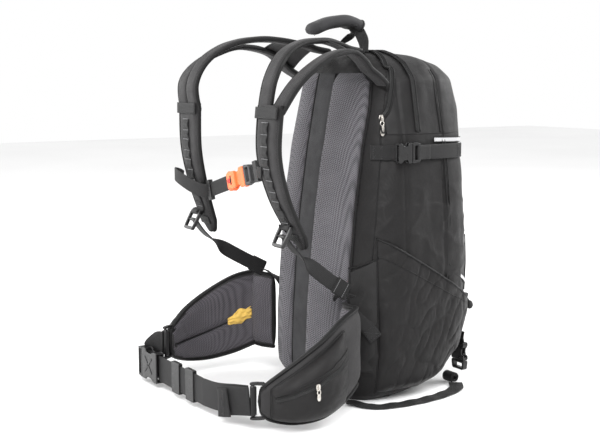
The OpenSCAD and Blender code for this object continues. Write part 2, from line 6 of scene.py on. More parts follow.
import bmesh
import bpy
import numpy as np
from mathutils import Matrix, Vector

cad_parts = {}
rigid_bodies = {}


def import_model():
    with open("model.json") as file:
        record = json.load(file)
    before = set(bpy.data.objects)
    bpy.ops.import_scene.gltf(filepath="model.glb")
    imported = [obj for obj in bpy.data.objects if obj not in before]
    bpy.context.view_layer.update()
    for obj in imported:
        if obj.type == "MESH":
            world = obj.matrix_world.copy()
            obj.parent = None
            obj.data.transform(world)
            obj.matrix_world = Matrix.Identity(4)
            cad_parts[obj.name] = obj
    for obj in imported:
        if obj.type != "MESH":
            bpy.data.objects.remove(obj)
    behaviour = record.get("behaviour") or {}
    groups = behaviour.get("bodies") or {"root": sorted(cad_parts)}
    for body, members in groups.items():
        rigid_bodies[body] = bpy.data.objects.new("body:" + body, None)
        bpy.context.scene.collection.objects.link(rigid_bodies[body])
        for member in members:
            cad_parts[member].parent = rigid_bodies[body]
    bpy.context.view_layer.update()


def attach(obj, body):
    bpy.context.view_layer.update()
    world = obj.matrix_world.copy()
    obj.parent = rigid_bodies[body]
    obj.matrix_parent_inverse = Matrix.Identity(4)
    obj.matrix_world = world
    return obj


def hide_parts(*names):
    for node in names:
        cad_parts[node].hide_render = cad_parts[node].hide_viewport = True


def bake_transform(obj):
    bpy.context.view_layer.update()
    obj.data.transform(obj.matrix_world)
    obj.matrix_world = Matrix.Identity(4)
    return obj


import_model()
MM = 0.001
BASE_Y = 66.0          # the drawing's depth that lies over the row frame's origin

# ---------------------------------------------------------------- numbers shared with the CAD, in mm
BACK_LINE = [[0, 16], [8, 10], [25, 6], [60, 4], [110, 6], [180, 11], [260, 19], [340, 31],
             [400, 42], [440, 50], [458, 56], [470, 68], [476, 84]]
FRONT_LINE = [[0, 118], [8, 150], [25, 190], [60, 218], [110, 230], [180, 232], [260, 228], [340, 220],
              [400, 220], [440, 209], [458, 192], [470, 164], [476, 130]]
HALF_LINE = [[0, 100], [8, 112], [25, 119], [60, 126], [110, 130], [180, 131], [260, 130], [340, 127],
             [400, 116], [440, 108], [458, 90], [470, 62], [476, 36]]
BODY_H = 476.0
ROWS, COLS = ((210, 420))     # of the mesh of the outer skin
MID = 0.4
BACK_SQUARE, FRONT_SQUARE = 2.1, 4.0
LID_Z, ZIP_SIDE_Y, ZIP_TOP_Y, POCKET_ZIP_Y = 364.0, 72.0, 104.0, 116.0


def eased(rows, blur=9):
    """The CAD's straight stretches, rounded off: value at each whole millimetre of height."""
    z = np.arange(-60, 540)
    v = np.interp(z, [r[0] for r in rows], [r[1] for r in rows])
    k = np.hanning(2 * blur + 1)
    s = np.convolve(v, k / k.sum(), mode="same")
    inside = (z >= 0) & (z <= BODY_H)
    w = np.clip(np.minimum(z, BODY_H - z) / (2.0 * blur), 0, 1)
    out = v * (1 - w) + s * w
    return z[inside], out[inside]


BACK, FRONT, HALF = eased(BACK_LINE), eased(FRONT_LINE), eased(HALF_LINE)


def back_y(z):
    """Depth of the middle of the back at height z."""
    return np.interp(z, *BACK)


def front_y(z):
    """Depth of the middle of the outer face at height z."""
    return np.interp(z, *FRONT)


def half_x(z):
    """Half of the body's width at height z."""
    return np.interp(z, *HALF)


def mid_y(z):
    """Depth where the body is widest at height z."""
    return back_y(z) + MID * (front_y(z) - back_y(z))


def ring(z):
    """The body's outline at height z, evenly spaced from the middle of the back, towards +X first."""
    a = np.linspace(-0.5 * np.pi, 1.5 * np.pi, 721)
    e = np.where(np.sin(a) > 0, FRONT_SQUARE, BACK_SQUARE)
    d = np.where(np.sin(a) > 0, front_y(z) - mid_y(z), mid_y(z) - back_y(z))
    x = half_x(z) * np.sign(np.cos(a)) * np.abs(np.cos(a)) ** (2 / e)
    y = mid_y(z) + d * np.sign(np.sin(a)) * np.abs(np.sin(a)) ** (2 / e)
    s = np.concatenate([[0], np.cumsum(np.hypot(np.diff(x), np.diff(y)))])
    t = np.linspace(0, s[-1], COLS, endpoint=False)
    return np.stack([np.interp(t, s, x), np.interp(t, s, y), np.full(COLS, float(z))], 1)


def side_x(y, z):
    """Half of the body's width at depth y and height z."""
    front = y > mid_y(z)
    e = FRONT_SQUARE if front else BACK_SQUARE
    d = front_y(z) - mid_y(z) if front else mid_y(z) - back_y(z)
    t = min(0.985, abs(y - mid_y(z)) / d)
    return float(half_x(z) * (1 - t ** e) ** (1 / e))


def surface_y(x, z):
    """Depth of the body's back at x off the middle plane."""
    t = min(0.99, abs(x) / half_x(z))
    return float(mid_y(z) - (mid_y(z) - back_y(z)) * (1 - t ** BACK_SQUARE) ** (1 / BACK_SQUARE))


# ---------------------------------------------------------------- small maths
def smooth(points, steps=6):
    """Catmull-Rom curve through the points."""
    p = np.asarray(points, float)
    out = []
    for i in range(len(p) - 1):
        a, b, c, d = p[max(i - 1, 0)], p[i], p[i + 1], p[min(i + 2, len(p) - 1)]
        for k in range(steps):
            t = k / steps
            out.append(0.5 * (2 * b + (c - a) * t + (2 * a - 5 * b + 4 * c - d) * t * t
                              + (3 * b - a - 3 * c + d) * t ** 3))
    out.append(p[-1])
    return np.array(out)


def even(points, gap):
    """The same route with points evenly gap apart."""
    p = np.asarray(points, float)
    s = np.concatenate([[0], np.cumsum(np.linalg.norm(np.diff(p[:, :3], axis=0), axis=1))])
    n = max(2, int(round(s[-1] / gap)) + 1)
    t = np.linspace(0, s[-1], n)
    return np.stack([np.interp(t, s, p[:, k]) for k in range(p.shape[1])], 1)


def unit(v):
    """Vectors scaled to length 1."""
    v = np.asarray(v, float)
    return v / np.maximum(np.linalg.norm(v, axis=-1, keepdims=True), 1e-9)


def tangents(p):
    """Unit direction of a route at each of its points."""
    return unit(np.gradient(np.asarray(p, float), axis=0))


class Waves:
    """Seeded sum of plane waves, used for the unevenness of cloth."""

    def __init__(self, seed, size, count=14, stretch=(1, 1, 1)):
        rng = np.random.default_rng(seed)
        d = unit(rng.normal(size=(count, 3)))
        self.k = d / np.asarray(stretch) * (2 * np.pi / size) * rng.uniform(0.6, 1.7, (count, 1))
        self.a = rng.uniform(0.5, 1.0, count) / math.sqrt(count)
        self.f = rng.uniform(0, 2 * np.pi, count)

    def __call__(self, p):
        return (np.sin(np.asarray(p) @ self.k.T + self.f) * self.a).sum(-1)

    def creases(self, p, sharp=3.0):
        """Thin raised lines where the waves cross zero."""
        return np.exp(-np.abs(self(p)) * sharp)


# ---------------------------------------------------------------- meshes
def mesh_object(name, verts, faces, mat, uvs=None, shade=True):
    """Object from drawing points in millimetres, moved to the row frame in metres."""
    me = bpy.data.meshes.new(name)
    me.from_pydata([tuple(v) for v in (np.asarray(verts, float) - (0, BASE_Y, 0)) * MM], [], faces)
    me.validate()
    if uvs is not None:
        layer = me.uv_layers.new(name="weave")
        at = np.asarray(uvs)[[lo.vertex_index for lo in me.loops]]
        layer.data.foreach_set("uv", at.astype(np.float32).ravel())
    o = bpy.data.objects.new(name, me)
    bpy.context.collection.objects.link(o)
    me.materials.append(mat)
    if shade:
        me.polygons.foreach_set("use_smooth", [True] * len(me.polygons))
    return o


def grid_faces(m, n, wrap=False):
    """Faces between m rows of n points."""
    cols = n if wrap else n - 1
    return [(i * n + j, i * n + (j + 1) % n, (i + 1) * n + (j + 1) % n, (i + 1) * n + j)
            for i in range(m - 1) for j in range(cols)]


def prism_faces(n):
    """Faces of a prism whose n lower points come before its n upper points."""
    ends = [tuple(range(n))[::-1], tuple(range(n, 2 * n))]
    return ends + [(i, (i + 1) % n, n + (i + 1) % n, n + i) for i in range(n)]


def oval(wide, high, n=12):
    """Oval section with n points, from its half width and half height."""
    a = np.linspace(0, 2 * np.pi, n, endpoint=False)
    return np.stack([wide * np.cos(a), high * np.sin(a)], 1)


def grid_object(name, pts, mat, wrap=False, caps=False, uvs=None):
    """Object through an array of rows of points; wrap joins each row into a ring."""
    m, n = pts.shape[:2]
    faces = grid_faces(m, n, wrap)
    if caps:
        faces += [tuple(range(n))[::-1], tuple(range((m - 1) * n, m * n))]
    return mesh_object(name, pts.reshape(-1, 3), faces, mat, uvs)


def frames(path, wide):
    """Direction, width direction and normal at each point of a path."""
    t = tangents(path)
    w = np.broadcast_to(np.asarray(wide, float), path.shape) if np.ndim(wide) == 1 else np.asarray(wide,
                                                                                                   float)
    w = unit(w - t * (w * t).sum(1, keepdims=True))
    return t, w, np.cross(t, w)


def sweep(name, path, profile, wide, mat, caps=True):
    """Profile (n,2) or one for each point (m,n,2), in width and thickness, swept along a path."""
    path = np.asarray(path, float)
    prof = np.asarray(profile, float)
    if prof.ndim == 2:
        prof = np.broadcast_to(prof, (len(path),) + prof.shape)
    _, w, nrm = frames(path, wide)
    pts = path[:, None] + prof[:, :, :1] * w[:, None] + prof[:, :, 1:] * nrm[:, None]
    s = np.concatenate([[0], np.cumsum(np.linalg.norm(np.diff(path, axis=0), axis=1))])
    uv = np.stack([prof[:, :, 0], np.broadcast_to(s[:, None], prof.shape[:2])], 2).reshape(-1, 2) * MM
    return grid_object(name, pts, mat, wrap=True, caps=caps, uvs=uv)


def band_profile(w, t, n=5):
    """Webbing section: flat, with rounded edges."""
    r = t / 2
    side = [(w / 2 - r + r * math.cos(a), r * math.sin(a)) for a in np.linspace(-math.pi / 2, math.pi / 2, n)]
    other = [(-x, -y) for x, y in side]
    mid = [(f * (w / 2 - r), t / 2) for f in (0.6, 0.2, -0.2, -0.6)]
    back = [(-x, -y) for x, y in mid]
    return np.array(side + mid + other + back)


def ribbon(name, route, w, t, wide, mat, gap=3.0, steps=8, raw=False):
    """Webbing w wide and t thick along a route; raw keeps the route's own points."""
    path = np.asarray(route, float) if raw else even(smooth(route, steps), gap)
    if not raw and np.ndim(wide) == 2:
        rows = even(np.concatenate([smooth(route, steps), smooth(wide, steps)], 1), gap)
        path, wide = rows[:, :3], rows[:, 3:]
    return sweep(name, path, band_profile(w, t), wide, mat)


def tube(name, route, r, mat, gap=3.0, n=8, raw=False, closed=False):
    """Round cord or piping along a route; closed joins its ends."""
    path = np.asarray(route, float) if raw else even(smooth(route, 8), gap)
    prof = oval(r, r, n)
    t = tangents(path)
    if closed:
        t = unit(np.roll(path, -1, 0) - np.roll(path, 1, 0))
    up = np.array([0.31, 0.17, 0.94])
    w = [unit(up - t[0] * (up @ t[0]))]
    for k in range(1, len(path)):
        w.append(unit(w[-1] - t[k] * (w[-1] @ t[k])))
    w = np.array(w)
    nrm = np.cross(t, w)
    pts = path[:, None] + prof[None, :, :1] * w[:, None] + prof[None, :, 1:] * nrm[:, None]
    if closed:
        m = len(path)
        shift = int(round((math.atan2((w[-1] @ nrm[0]), (w[-1] @ w[0]))) / (2 * math.pi) * n)) % n
        faces = grid_faces(m, n, True)
        faces += [((m - 1) * n + j, (m - 1) * n + (j + 1) % n, (j + 1 + shift) % n, (j + shift) % n)
                  for j in range(n)]
        return mesh_object(name, pts.reshape(-1, 3), faces, mat)
    return grid_object(name, pts, mat, wrap=True, caps=True)


def stitch_line(name, path, r, mat, pitch=3.4, length=2.2):
    """A row of separate stitches along a path, as one mesh."""
    p = even(path, pitch)
    t = tangents(p)
    n = 5
    a = np.linspace(0, 2 * np.pi, n, endpoint=False)
    verts, faces = [], []
    for c, d in zip(p, t):
        u = unit(np.cross(d, [0.2, 0.5, 0.84]))
        v = np.cross(d, u)
        base = len(verts)
        for s, k in ((-0.5, 0.35), (-0.3, 1.0), (0.3, 1.0), (0.5, 0.35)):
            verts += list(c + d * s * length + r * k * (np.cos(a)[:, None] * u + np.sin(a)[:, None] * v))
        faces += [tuple(base + q for q in f) for f in grid_faces(4, n, True)]
        faces += [tuple(base + q for q in range(n))[::-1], tuple(base + 3 * n + q for q in range(n))]
    return mesh_object(name, verts, faces, mat)


def join(name, objs):
    """One object from several, keeping their materials."""
    bpy.ops.object.select_all(action="DESELECT")
    for o in objs:
        o.select_set(True)
    bpy.context.view_layer.objects.active = objs[0]
    bpy.ops.object.join()
    objs[0].name = name
    return objs[0]


def apply_modifiers(o):
    """Replaces an object's mesh by the shape its modifiers give."""
    deps = bpy.context.evaluated_depsgraph_get()
    me = bpy.data.meshes.new_from_object(o.evaluated_get(deps))
    o.modifiers.clear()
    old = o.data
    o.data = me
    bpy.data.meshes.remove(old)
    return o


def thicken(o, t, offset=-1.0):
    """Gives a sheet its thickness in mm."""
    m = o.modifiers.new("solid", "SOLIDIFY")
    m.thickness = t * MM
    m.offset = offset
    return apply_modifiers(o)


def bevel(o, width, segments=3, angle=30):
    """Rounds the edges sharper than the angle."""
    m = o.modifiers.new("bevel", "BEVEL")
    m.width = width * MM
    m.segments = segments
    m.limit_method = "ANGLE"
    m.angle_limit = math.radians(angle)
    m.harden_normals = False
    return o


def flip(o):
    """Mirror an object's mesh in the middle plane."""
    me = o.data
    co = np.empty(len(me.vertices) * 3)
    me.vertices.foreach_get("co", co)
    co = co.reshape(-1, 3)
    co[:, 0] *= -1
    me.vertices.foreach_set("co", co.ravel())
    me.flip_normals()
    return o


def twin(o, name):
    """Mirrored copy for the other side."""
    c = o.copy()
    c.data = o.data.copy()
    c.name = name
    bpy.context.collection.objects.link(c)
    return flip(c)


def row_point(p):
    """A drawing point in the row frame, in metres."""
    return (p[0] * MM, (p[1] - BASE_Y) * MM, p[2] * MM)


def drawn(co):
    """A mesh point in the drawing's millimetres."""
    return Vector((co[0] / MM, co[1] / MM + BASE_Y, co[2] / MM))


def place(o, body, nodes=()):
    """Hides the CAD nodes a piece stands for and ties the piece to the body it rides on."""
    if nodes:
        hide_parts(*nodes)
    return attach(o, body)


# ---------------------------------------------------------------- materials
class Nodes:
    """Short hand for building a node material."""

    def __init__(self, name, rough=0.7, sheen=0.0, metal=0.0, coat=0.0, specular=0.5):
        self.mat = bpy.data.materials.new(name)
        self.mat.use_nodes = True
        self.tree = self.mat.node_tree
        self.bsdf = self.tree.nodes["Principled BSDF"]
        self.set(Metallic=metal, IOR=1.45, Roughness=rough)
        self.bsdf.inputs["Sheen Weight"].default_value = sheen
        self.bsdf.inputs["Sheen Roughness"].default_value = 0.45
        self.bsdf.inputs["Coat Weight"].default_value = coat
        self.bsdf.inputs["Specular IOR Level"].default_value = specular
        self.coords = self.tree.nodes.new("ShaderNodeTexCoord").outputs["Object"]
        self.height = None

    def set(self, **values):
        for k, v in values.items():
            self.bsdf.inputs[k.replace("_", " ")].default_value = v

    def node(self, kind, **settings):
        n = self.tree.nodes.new("ShaderNode" + kind)
        for k, v in settings.items():
            setattr(n, k, v)
        return n

    def link(self, a, b):
        self.tree.links.new(a, b)

    def turned(self, source, angle=(0, 0, 0), scale=(1, 1, 1)):
        m = self.node("Mapping")
        m.inputs["Rotation"].default_value = angle
        m.inputs["Scale"].default_value = scale
        self.link(source, m.inputs["Vector"])
        return m.outputs["Vector"]

    def uv(self):
        return self.node("UVMap", uv_map="weave").outputs["UV"]

    def wave(self, coords, pitch, direction="X", distort=0.0):
        w = self.node("TexWave", bands_direction=direction)
        w.inputs["Scale"].default_value = 2 * math.pi / (20.0 * pitch * MM)
        w.inputs["Distortion"].default_value = distort
        w.inputs["Detail"].default_value = 0.0
        self.link(coords, w.inputs["Vector"])
        return w.outputs["Fac"]

    def noise(self, size, detail=3.0):
        n = self.node("TexNoise")
        n.inputs["Scale"].default_value = 1.0 / (size * MM)
        n.inputs["Detail"].default_value = detail
        self.link(self.coords, n.inputs["Vector"])
        return n.outputs["Fac"]

    def math(self, op, a, b):
        n = self.node("Math", operation=op)
        for k, v in enumerate((a, b)):
            if isinstance(v, (int, float)):
                n.inputs[k].default_value = v
            else:
                self.link(v, n.inputs[k])
        return n.outputs[0]

    def bump(self, height, depth, strength=1.0):
        b = self.node("Bump")
        b.inputs["Strength"].default_value = strength
        b.inputs["Distance"].default_value = depth * MM
        self.link(height, b.inputs["Height"])
        if self.height is not None:
            self.link(self.height, b.inputs["Normal"])
        self.height = b.outputs["Normal"]
        self.link(self.height, self.bsdf.inputs["Normal"])

    def ramp(self, fac, stops):
        r = self.node("ValToRGB")
        e = r.color_ramp.elements
        while len(e) < len(stops):
            e.new(0.5)
        for k, (at, c) in enumerate(stops):
            e[k].position = at
            e[k].color = (*c, 1) if np.ndim(c) else (c, c, c, 1)
        self.link(fac, r.inputs["Fac"])
        return r.outputs["Color"]

    def colour(self, fac, low, high, a=0.3, b=0.7):
        self.link(self.ramp(fac, [(a, low), (b, high)]), self.bsdf.inputs["Base Color"])

    def roughness(self, fac, low, high):
        self.link(self.ramp(fac, [(0.3, low), (0.7, high)]), self.bsdf.inputs["Roughness"])


def shade(c, k):
    """Colour c made k times as bright."""
    return tuple(min(1.0, v * k) for v in c)


def woven(name, c, pitch=0.9, depth=0.12, rough=0.62, sheen=0.25, slub=0.35, crumple=0.5, spread=0.22):
    """Plain-woven fabric: two crossing yarns, slubs and soft crumples."""
    n = Nodes(name, rough=rough, sheen=sheen, specular=0.28)
    a = n.wave(n.turned(n.coords, (0.0, 0.0, 0.785)), pitch, "X", 0.4)
    b = n.wave(n.turned(n.coords, (0.3, 0.2, 0.785)), pitch, "Z", 0.4)
    patch = n.noise(38, 4)
    n.colour(patch, shade(c, 1 - spread), shade(c, 1 + spread))
    n.roughness(n.noise(16, 4), rough - 0.07, min(1, rough + 0.12))
    n.bump(n.noise(14, 5), crumple * 1.6, 0.55)
    n.bump(n.noise(2.4, 2), slub * 0.4, 0.5)
    n.bump(n.math("MULTIPLY", a, b), depth, 0.8)
    return n.mat


def spacer(name, low, high, pitch=2.3):
    """Three-dimensional spacer mesh: rows of small open cells."""
    n = Nodes(name, rough=0.88, sheen=0.08, specular=0.2)
    a = n.wave(n.turned(n.coords, (0.62, 0.0, 0.0)), pitch, "Z", 0.3)
    b = n.wave(n.turned(n.coords, (-0.75, 0.35, 0.0)), pitch * 0.92, "Z", 0.3)
    c = n.wave(n.turned(n.coords, (0.0, 0.0, 0.5)), pitch, "X", 0.2)
    cell = n.math("MULTIPLY", n.math("MAXIMUM", a, b), n.math("ADD", n.math("MULTIPLY", c, 0.45), 0.6))
    n.colour(n.math("ADD", n.math("MULTIPLY", cell, 0.8), n.math("MULTIPLY", n.noise(30, 3), 0.2)), low,
             high, 0.18, 0.75)
    n.bump(n.noise(22, 3), 0.8, 0.4)
    n.bump(cell, 0.75, 0.9)
    return n.mat


def ribbed(name, c, pitch=1.3, rough=0.6):
    """Webbing: fine ribs across, with a longer wave along its length."""
    n = Nodes(name, rough=rough, sheen=0.04, specular=0.3)
    uv = n.uv()
    across = n.wave(uv, pitch, "Y", 0.0)
    along = n.wave(uv, pitch * 1.6, "X", 0.0)
    n.colour(n.math("ADD", n.math("MULTIPLY", across, 0.55), n.math("MULTIPLY", n.noise(9, 3), 0.45)),
             shade(c, 0.72), shade(c, 1.35), 0.2, 0.85)
    n.bump(n.noise(25, 3), 0.6, 0.4)
    n.bump(n.math("MULTIPLY", across, n.math("ADD", n.math("MULTIPLY", along, 0.4), 0.6)), 0.35, 0.9)
    return n.mat


def moulded(name, c, rough=0.38, grain=0.05, coat=0.0):
    """Injection-moulded plastic with a fine spark-eroded grain."""
    n = Nodes(name, rough=rough, coat=coat, specular=0.5)
    n.colour(n.noise(20, 3), shade(c, 0.88), shade(c, 1.12))
    n.roughness(n.noise(6, 4), rough - 0.06, rough + 0.1)
    n.bump(n.noise(0.7, 2), grain, 0.5)
    n.bump(n.noise(18, 2), 0.1, 0.3)
    return n.mat


def metal(name, c, rough=0.3):
    """Cast or drawn metal with a faint grain."""
    n = Nodes(name, rough=rough, metal=1.0)
    n.colour(n.noise(5, 4), shade(c, 0.85), shade(c, 1.1))
    n.roughness(n.noise(3, 4), rough - 0.08, rough + 0.14)
    n.bump(n.noise(0.6, 3), 0.03, 0.4)
    return n.mat


BLACK = woven("pack_cloth", (0.0060, 0.0054, 0.0056), pitch=0.9, rough=0.50, sheen=0.03, crumple=0.8)
LID = woven("lid_cloth", (0.0085, 0.0080, 0.0083), pitch=0.9, rough=0.50, sheen=0.04, crumple=0.7)
DARK = woven("edge_cloth", (0.0045, 0.0043, 0.0045), pitch=0.7, rough=0.55, sheen=0.02, crumple=0.4)
STRAP = woven("strap_face", (0.0235, 0.0225, 0.0232), pitch=0.7, rough=0.66, sheen=0.06, crumple=0.45)
FLANK = woven("flank_cloth", (0.0125, 0.0120, 0.0122), pitch=0.8, rough=0.55, sheen=0.04, crumple=0.6)
MESH = spacer("spacer_mesh", (0.010, 0.0096, 0.011), (0.150, 0.145, 0.158))
WINGMESH = spacer("wing_mesh", (0.016, 0.0148, 0.017), (0.105, 0.098, 0.110), pitch=2.1)
CHANNEL = woven("channel_cloth", (0.027, 0.0268, 0.0285), pitch=0.6, rough=0.7, sheen=0.06, crumple=0.3)
LINING = woven("lining_cloth", (0.055, 0.055, 0.06), pitch=0.8, rough=0.6)
YELLOW = woven("yellow_lining", (0.62, 0.40, 0.085), pitch=0.9, rough=0.5, sheen=0.3, crumple=1.6, spread=0.3)
BIND = woven("binding_tape", (0.0042, 0.0040, 0.0042), pitch=0.6, rough=0.5, sheen=0.03, crumple=0.2)
THREAD = woven("thread", (0.020, 0.0195, 0.0205), pitch=0.4, rough=0.5)
PALE_THREAD = woven("pale_thread", (0.16, 0.16, 0.165), pitch=0.4, rough=0.5)
WEB = ribbed("webbing", (0.0105, 0.0102, 0.0106))
WEB_DARK = ribbed("webbing_dark", (0.0062, 0.0060, 0.0063), rough=0.55)
PLASTIC = moulded("black_acetal", (0.0085, 0.0083, 0.0087), rough=0.30)
GREY_PLASTIC = moulded("grey_acetal", (0.040, 0.0395, 0.041), rough=0.4)
ORANGE = moulded("orange_acetal", (1.0, 0.175, 0.055), rough=0.36)
RED = moulded("red_acetal", (0.62, 0.02, 0.015), rough=0.3)
ZIP_METAL = metal("zip_metal", (0.58, 0.55, 0.51), rough=0.28)
ALLOY = metal("stay_alloy", (0.75, 0.76, 0.78), rough=0.35)
REFLECT = woven("reflective_tape", (0.50, 0.50, 0.51), pitch=0.5, rough=0.35, sheen=0.0, crumple=0.15,
                spread=0.1)
SHEET = moulded("sheet_plastic", (0.62, 0.62, 0.60), rough=0.3)
COIL = moulded("zip_coil", (0.005, 0.005, 0.0052), rough=0.4)
RUBBER = moulded("rubber_pull", (0.016, 0.016, 0.0165), rough=0.7, grain=0.12)


# ---------------------------------------------------------------- pack body
def row_heights(count):
    """Heights spaced by distance along the body's outline, so the shoulders stay fine."""
    z = np.linspace(0.0, BODY_H, 1500)
    d = np.sqrt(np.diff(z) ** 2 + np.maximum(np.diff(half_x(z)) ** 2,
                                             np.maximum(np.diff(front_y(z)) ** 2, np.diff(back_y(z)) ** 2)))
    s = np.concatenate([[0], np.cumsum(d)])
    return np.interp(np.linspace(0, s[-1], count), s, z)


BODY_WAVES = [Waves(11, 130, stretch=(1, 1, 1.4)), Waves(12, 62, stretch=(1, 1, 2.2)),
              Waves(13, 30, stretch=(1.0, 1.0, 2.6))]
FOLDS = [Waves(21, 95, stretch=(1, 1, 0.55)), Waves(22, 60, stretch=(0.8, 0.8, 1.6))]


def body_relief(p):
    """How far the cloth stands off the body's plain form, in mm, at points p."""
    x, y, z = p[:, 0], p[:, 1], p[:, 2]
    soft = 1.7 * BODY_WAVES[0](p) + 0.9 * BODY_WAVES[1](p) + 0.35 * BODY_WAVES[2](p)
    folds = 1.5 * FOLDS[0].creases(p, 4.0) * np.clip((z - 20) / 60, 0, 1) * np.clip((330 - z) / 80, 0, 1)
    folds += 0.9 * FOLDS[1].creases(p, 5.0) * np.clip((300 - z) / 120, 0.15, 1)
    flat_back = np.clip((y - back_y(z) - 26) / 20, 0, 1)
    ends = np.clip(z / 18, 0, 1)
    out = (soft + folds) * flat_back * ends
    for line, depth, wide in ((92.0, 1.5, 3.0), (158.0, 1.3, 3.0), (214.0, 1.0, 2.5)):
        near = (y - line) / wide
        out -= depth * np.exp(-near ** 2) * np.clip((z - 60) / 40, 0, 1) * (np.abs(x) > 60)
    out -= 1.6 * np.exp(-((z - COMP_Z) / 13.0) ** 2) * np.clip((y - 52) / 20, 0, 1)
    return out


COMP_Z = 341.0


def body_grid():
    """Rows of points over the outer skin, with the relief of its cloth."""
    g = np.array([ring(z) for z in row_heights(ROWS)])
    du = np.roll(g, -1, 1) - np.roll(g, 1, 1)
    dv = np.gradient(g, axis=0)
    return g + unit(np.cross(du, dv)) * body_relief(g.reshape(-1, 3)).reshape(g.shape[:2] + (1,))


def closed_body():
    """The whole outer skin with its rounded crown and its base."""
    g = body_grid()
    top, low = g[-1], g[0]
    crown = [top.mean(0) * (1 - k) + top * k + np.array([0, 0, 2.5 * (1 - k ** 2)])
             for k in (0.8, 0.55, 0.3, 0.06)]
    base = [low.mean(0) * (1 - k) + low * k + np.array([0, 0, 0.6 * (1 - k)]) for k in (0.06, 0.3, 0.55, 0.8)]
    for ringed in base + crown:
        ringed[:, 2] = np.clip(ringed[:, 2], 0.0, BODY_H + 2.5)
    return np.concatenate([np.array(base), g, np.array(crown)])


def cut(bm, field):
    """Splits the faces of bm along the line where field is zero."""
    value = {v: field(drawn(v.co)) for v in bm.verts}
    new = []
    for e in list(bm.edges):
        a, b = value[e.verts[0]], value[e.verts[1]]
        if a * b < 0:
            _, v = bmesh.utils.edge_split(e, e.verts[0], a / (a - b))
            new.append(v)
    bmesh.ops.connect_verts(bm, verts=new)


def zip_y(x):
    """Depth of the main zip, which runs forward round the haul handle."""
    t = min(1.0, abs(x) / 100.0)
    return ZIP_SIDE_Y + (ZIP_TOP_Y - ZIP_SIDE_Y) * math.sqrt(1 - t * t)


def skin(name, keep, fields, mat, thick, grid):
    """The part of the outer skin where keep holds, cut cleanly along the fields."""
    o = grid_object(name, grid, mat, wrap=True, caps=True)
    bm = bmesh.new()
    bm.from_mesh(o.data)
    for f in fields:
        cut(bm, f)
    gone = [f for f in bm.faces if not keep(drawn(f.calc_center_median()))]
    bmesh.ops.delete(bm, geom=gone, context="FACES")
    bmesh.ops.recalc_face_normals(bm, faces=bm.faces)
    bm.to_mesh(o.data)
    bm.free()
    o.data.polygons.foreach_set("use_smooth", [True] * len(o.data.polygons))
    return thicken(o, thick)


BODY = closed_body()


def above(c):
    """Height of a point over the mouth of the main space."""
    return c.z - LID_Z


def before(c):
    """How far a point lies in front of the main zip."""
    return c.y - zip_y(c.x)


def pocket(c):
    """How far a point lies in front of the front pocket's zip."""
    return c.y - POCKET_ZIP_Y


shell = skin("pack_shell", lambda c: not (above(c) > 0 and before(c) > 0), [above, before], BLACK, 2.4, BODY)
place(shell, "pack", ["main_shell"])
lid = skin("main_lid_skin", lambda c: above(c) > 0 and before(c) > 0 and pocket(c) < 0,
           [above, before, pocket], LID, 2.4, BODY)
place(lid, "main_lid", ["main_lid"])
cover = skin("front_lid_skin", lambda c: above(c) > 0 and pocket(c) > 0, [above, pocket], LID, 2.4, BODY)
place(cover, "front_lid", ["front_lid"])


def on_body(y, z, off=0.0, side=1):
    """Point on the side of the body at depth y and height z, off mm outside it."""
    return np.array([side * (side_x(y, z) + off), y, z])


def body_line(points, off, side=1, steps=8, gap=3.0):
    """Route over the side of the body through (y, z) points."""
    return even([on_body(y, z, off, side) for y, z in smooth(points, steps)], gap)


# ---------------------------------------------------------------- back: channel, pads, flank seams
def pad_section(w, t, n=36, square=5.0, round_=2.3):
    """Closed section of a foam strap: broad crowned faces and rolled edges, evenly spaced."""
    a = np.linspace(0, 2 * np.pi, 401)
    x = w / 2 * np.sign(np.cos(a)) * np.abs(np.cos(a)) ** (2 / square)
    y = t / 2 * np.sign(np.sin(a)) * np.abs(np.sin(a)) ** (2 / round_)
    s = np.concatenate([[0], np.cumsum(np.hypot(np.diff(x), np.diff(y)))])
    q = np.linspace(0, s[-1], n, endpoint=False)
    return np.stack([np.interp(q, s, x), np.interp(q, s, y)], 1)


PAD_IN = [[14, 23], [60, 19], [448, 22]]
PAD_OUT = [[14, 72], [40, 82], [90, 86], [330, 86], [400, 84], [436, 80], [448, 66]]
PAD_T = 12.0
pad_waves = Waves(31, 55, stretch=(1, 1, 1.5))


def back_pad():
    """Closed sections of the left back pad, from its foot to its head."""
    zs = np.concatenate([np.linspace(15, 30, 7), np.linspace(34, 430, 100), np.linspace(433, 447, 6)])
    rows = []
    for z in zs:
        a, b = np.interp(z, *np.array(PAD_IN).T), np.interp(z, *np.array(PAD_OUT).T)
        end = min(1.0, ((z - 14) / 16) ** 0.5 if z < 30 else 1.0, ((448 - z) / 15) ** 0.5 if z > 433 else 1.0)
        q = np.linspace(0, 1, 30)
        crown = (1 - np.abs(2 * q - 1) ** 3.4) ** (1 / 2.0) * (1.0 - 0.10 * q)
        x = a + (b - a) * q
        x = x + (0.5 - q) * (1 - end) * 8
        base = np.array([surface_y(v, z) for v in x])
        y = base - (PAD_T * 1.03 * crown * end + 0.5)
        front = np.stack([x, y, np.full(30, z)], 1)
        front[:, 1] -= 0.5 * pad_waves(front) * crown
        inner = np.stack([x, base - 0.2, np.full(30, z)], 1)[::-1]
        rows.append(np.concatenate([front, inner[1:-1]]))
    return np.array(rows)


pad_left = grid_object("back_pad_mesh_left", back_pad(), MESH, wrap=True, caps=True)
pad_right = twin(pad_left, "back_pad_mesh_right")
for o, n in ((pad_left, "back_pad_left"), (pad_right, "back_pad_right")):
    place(o, "pack", [n])

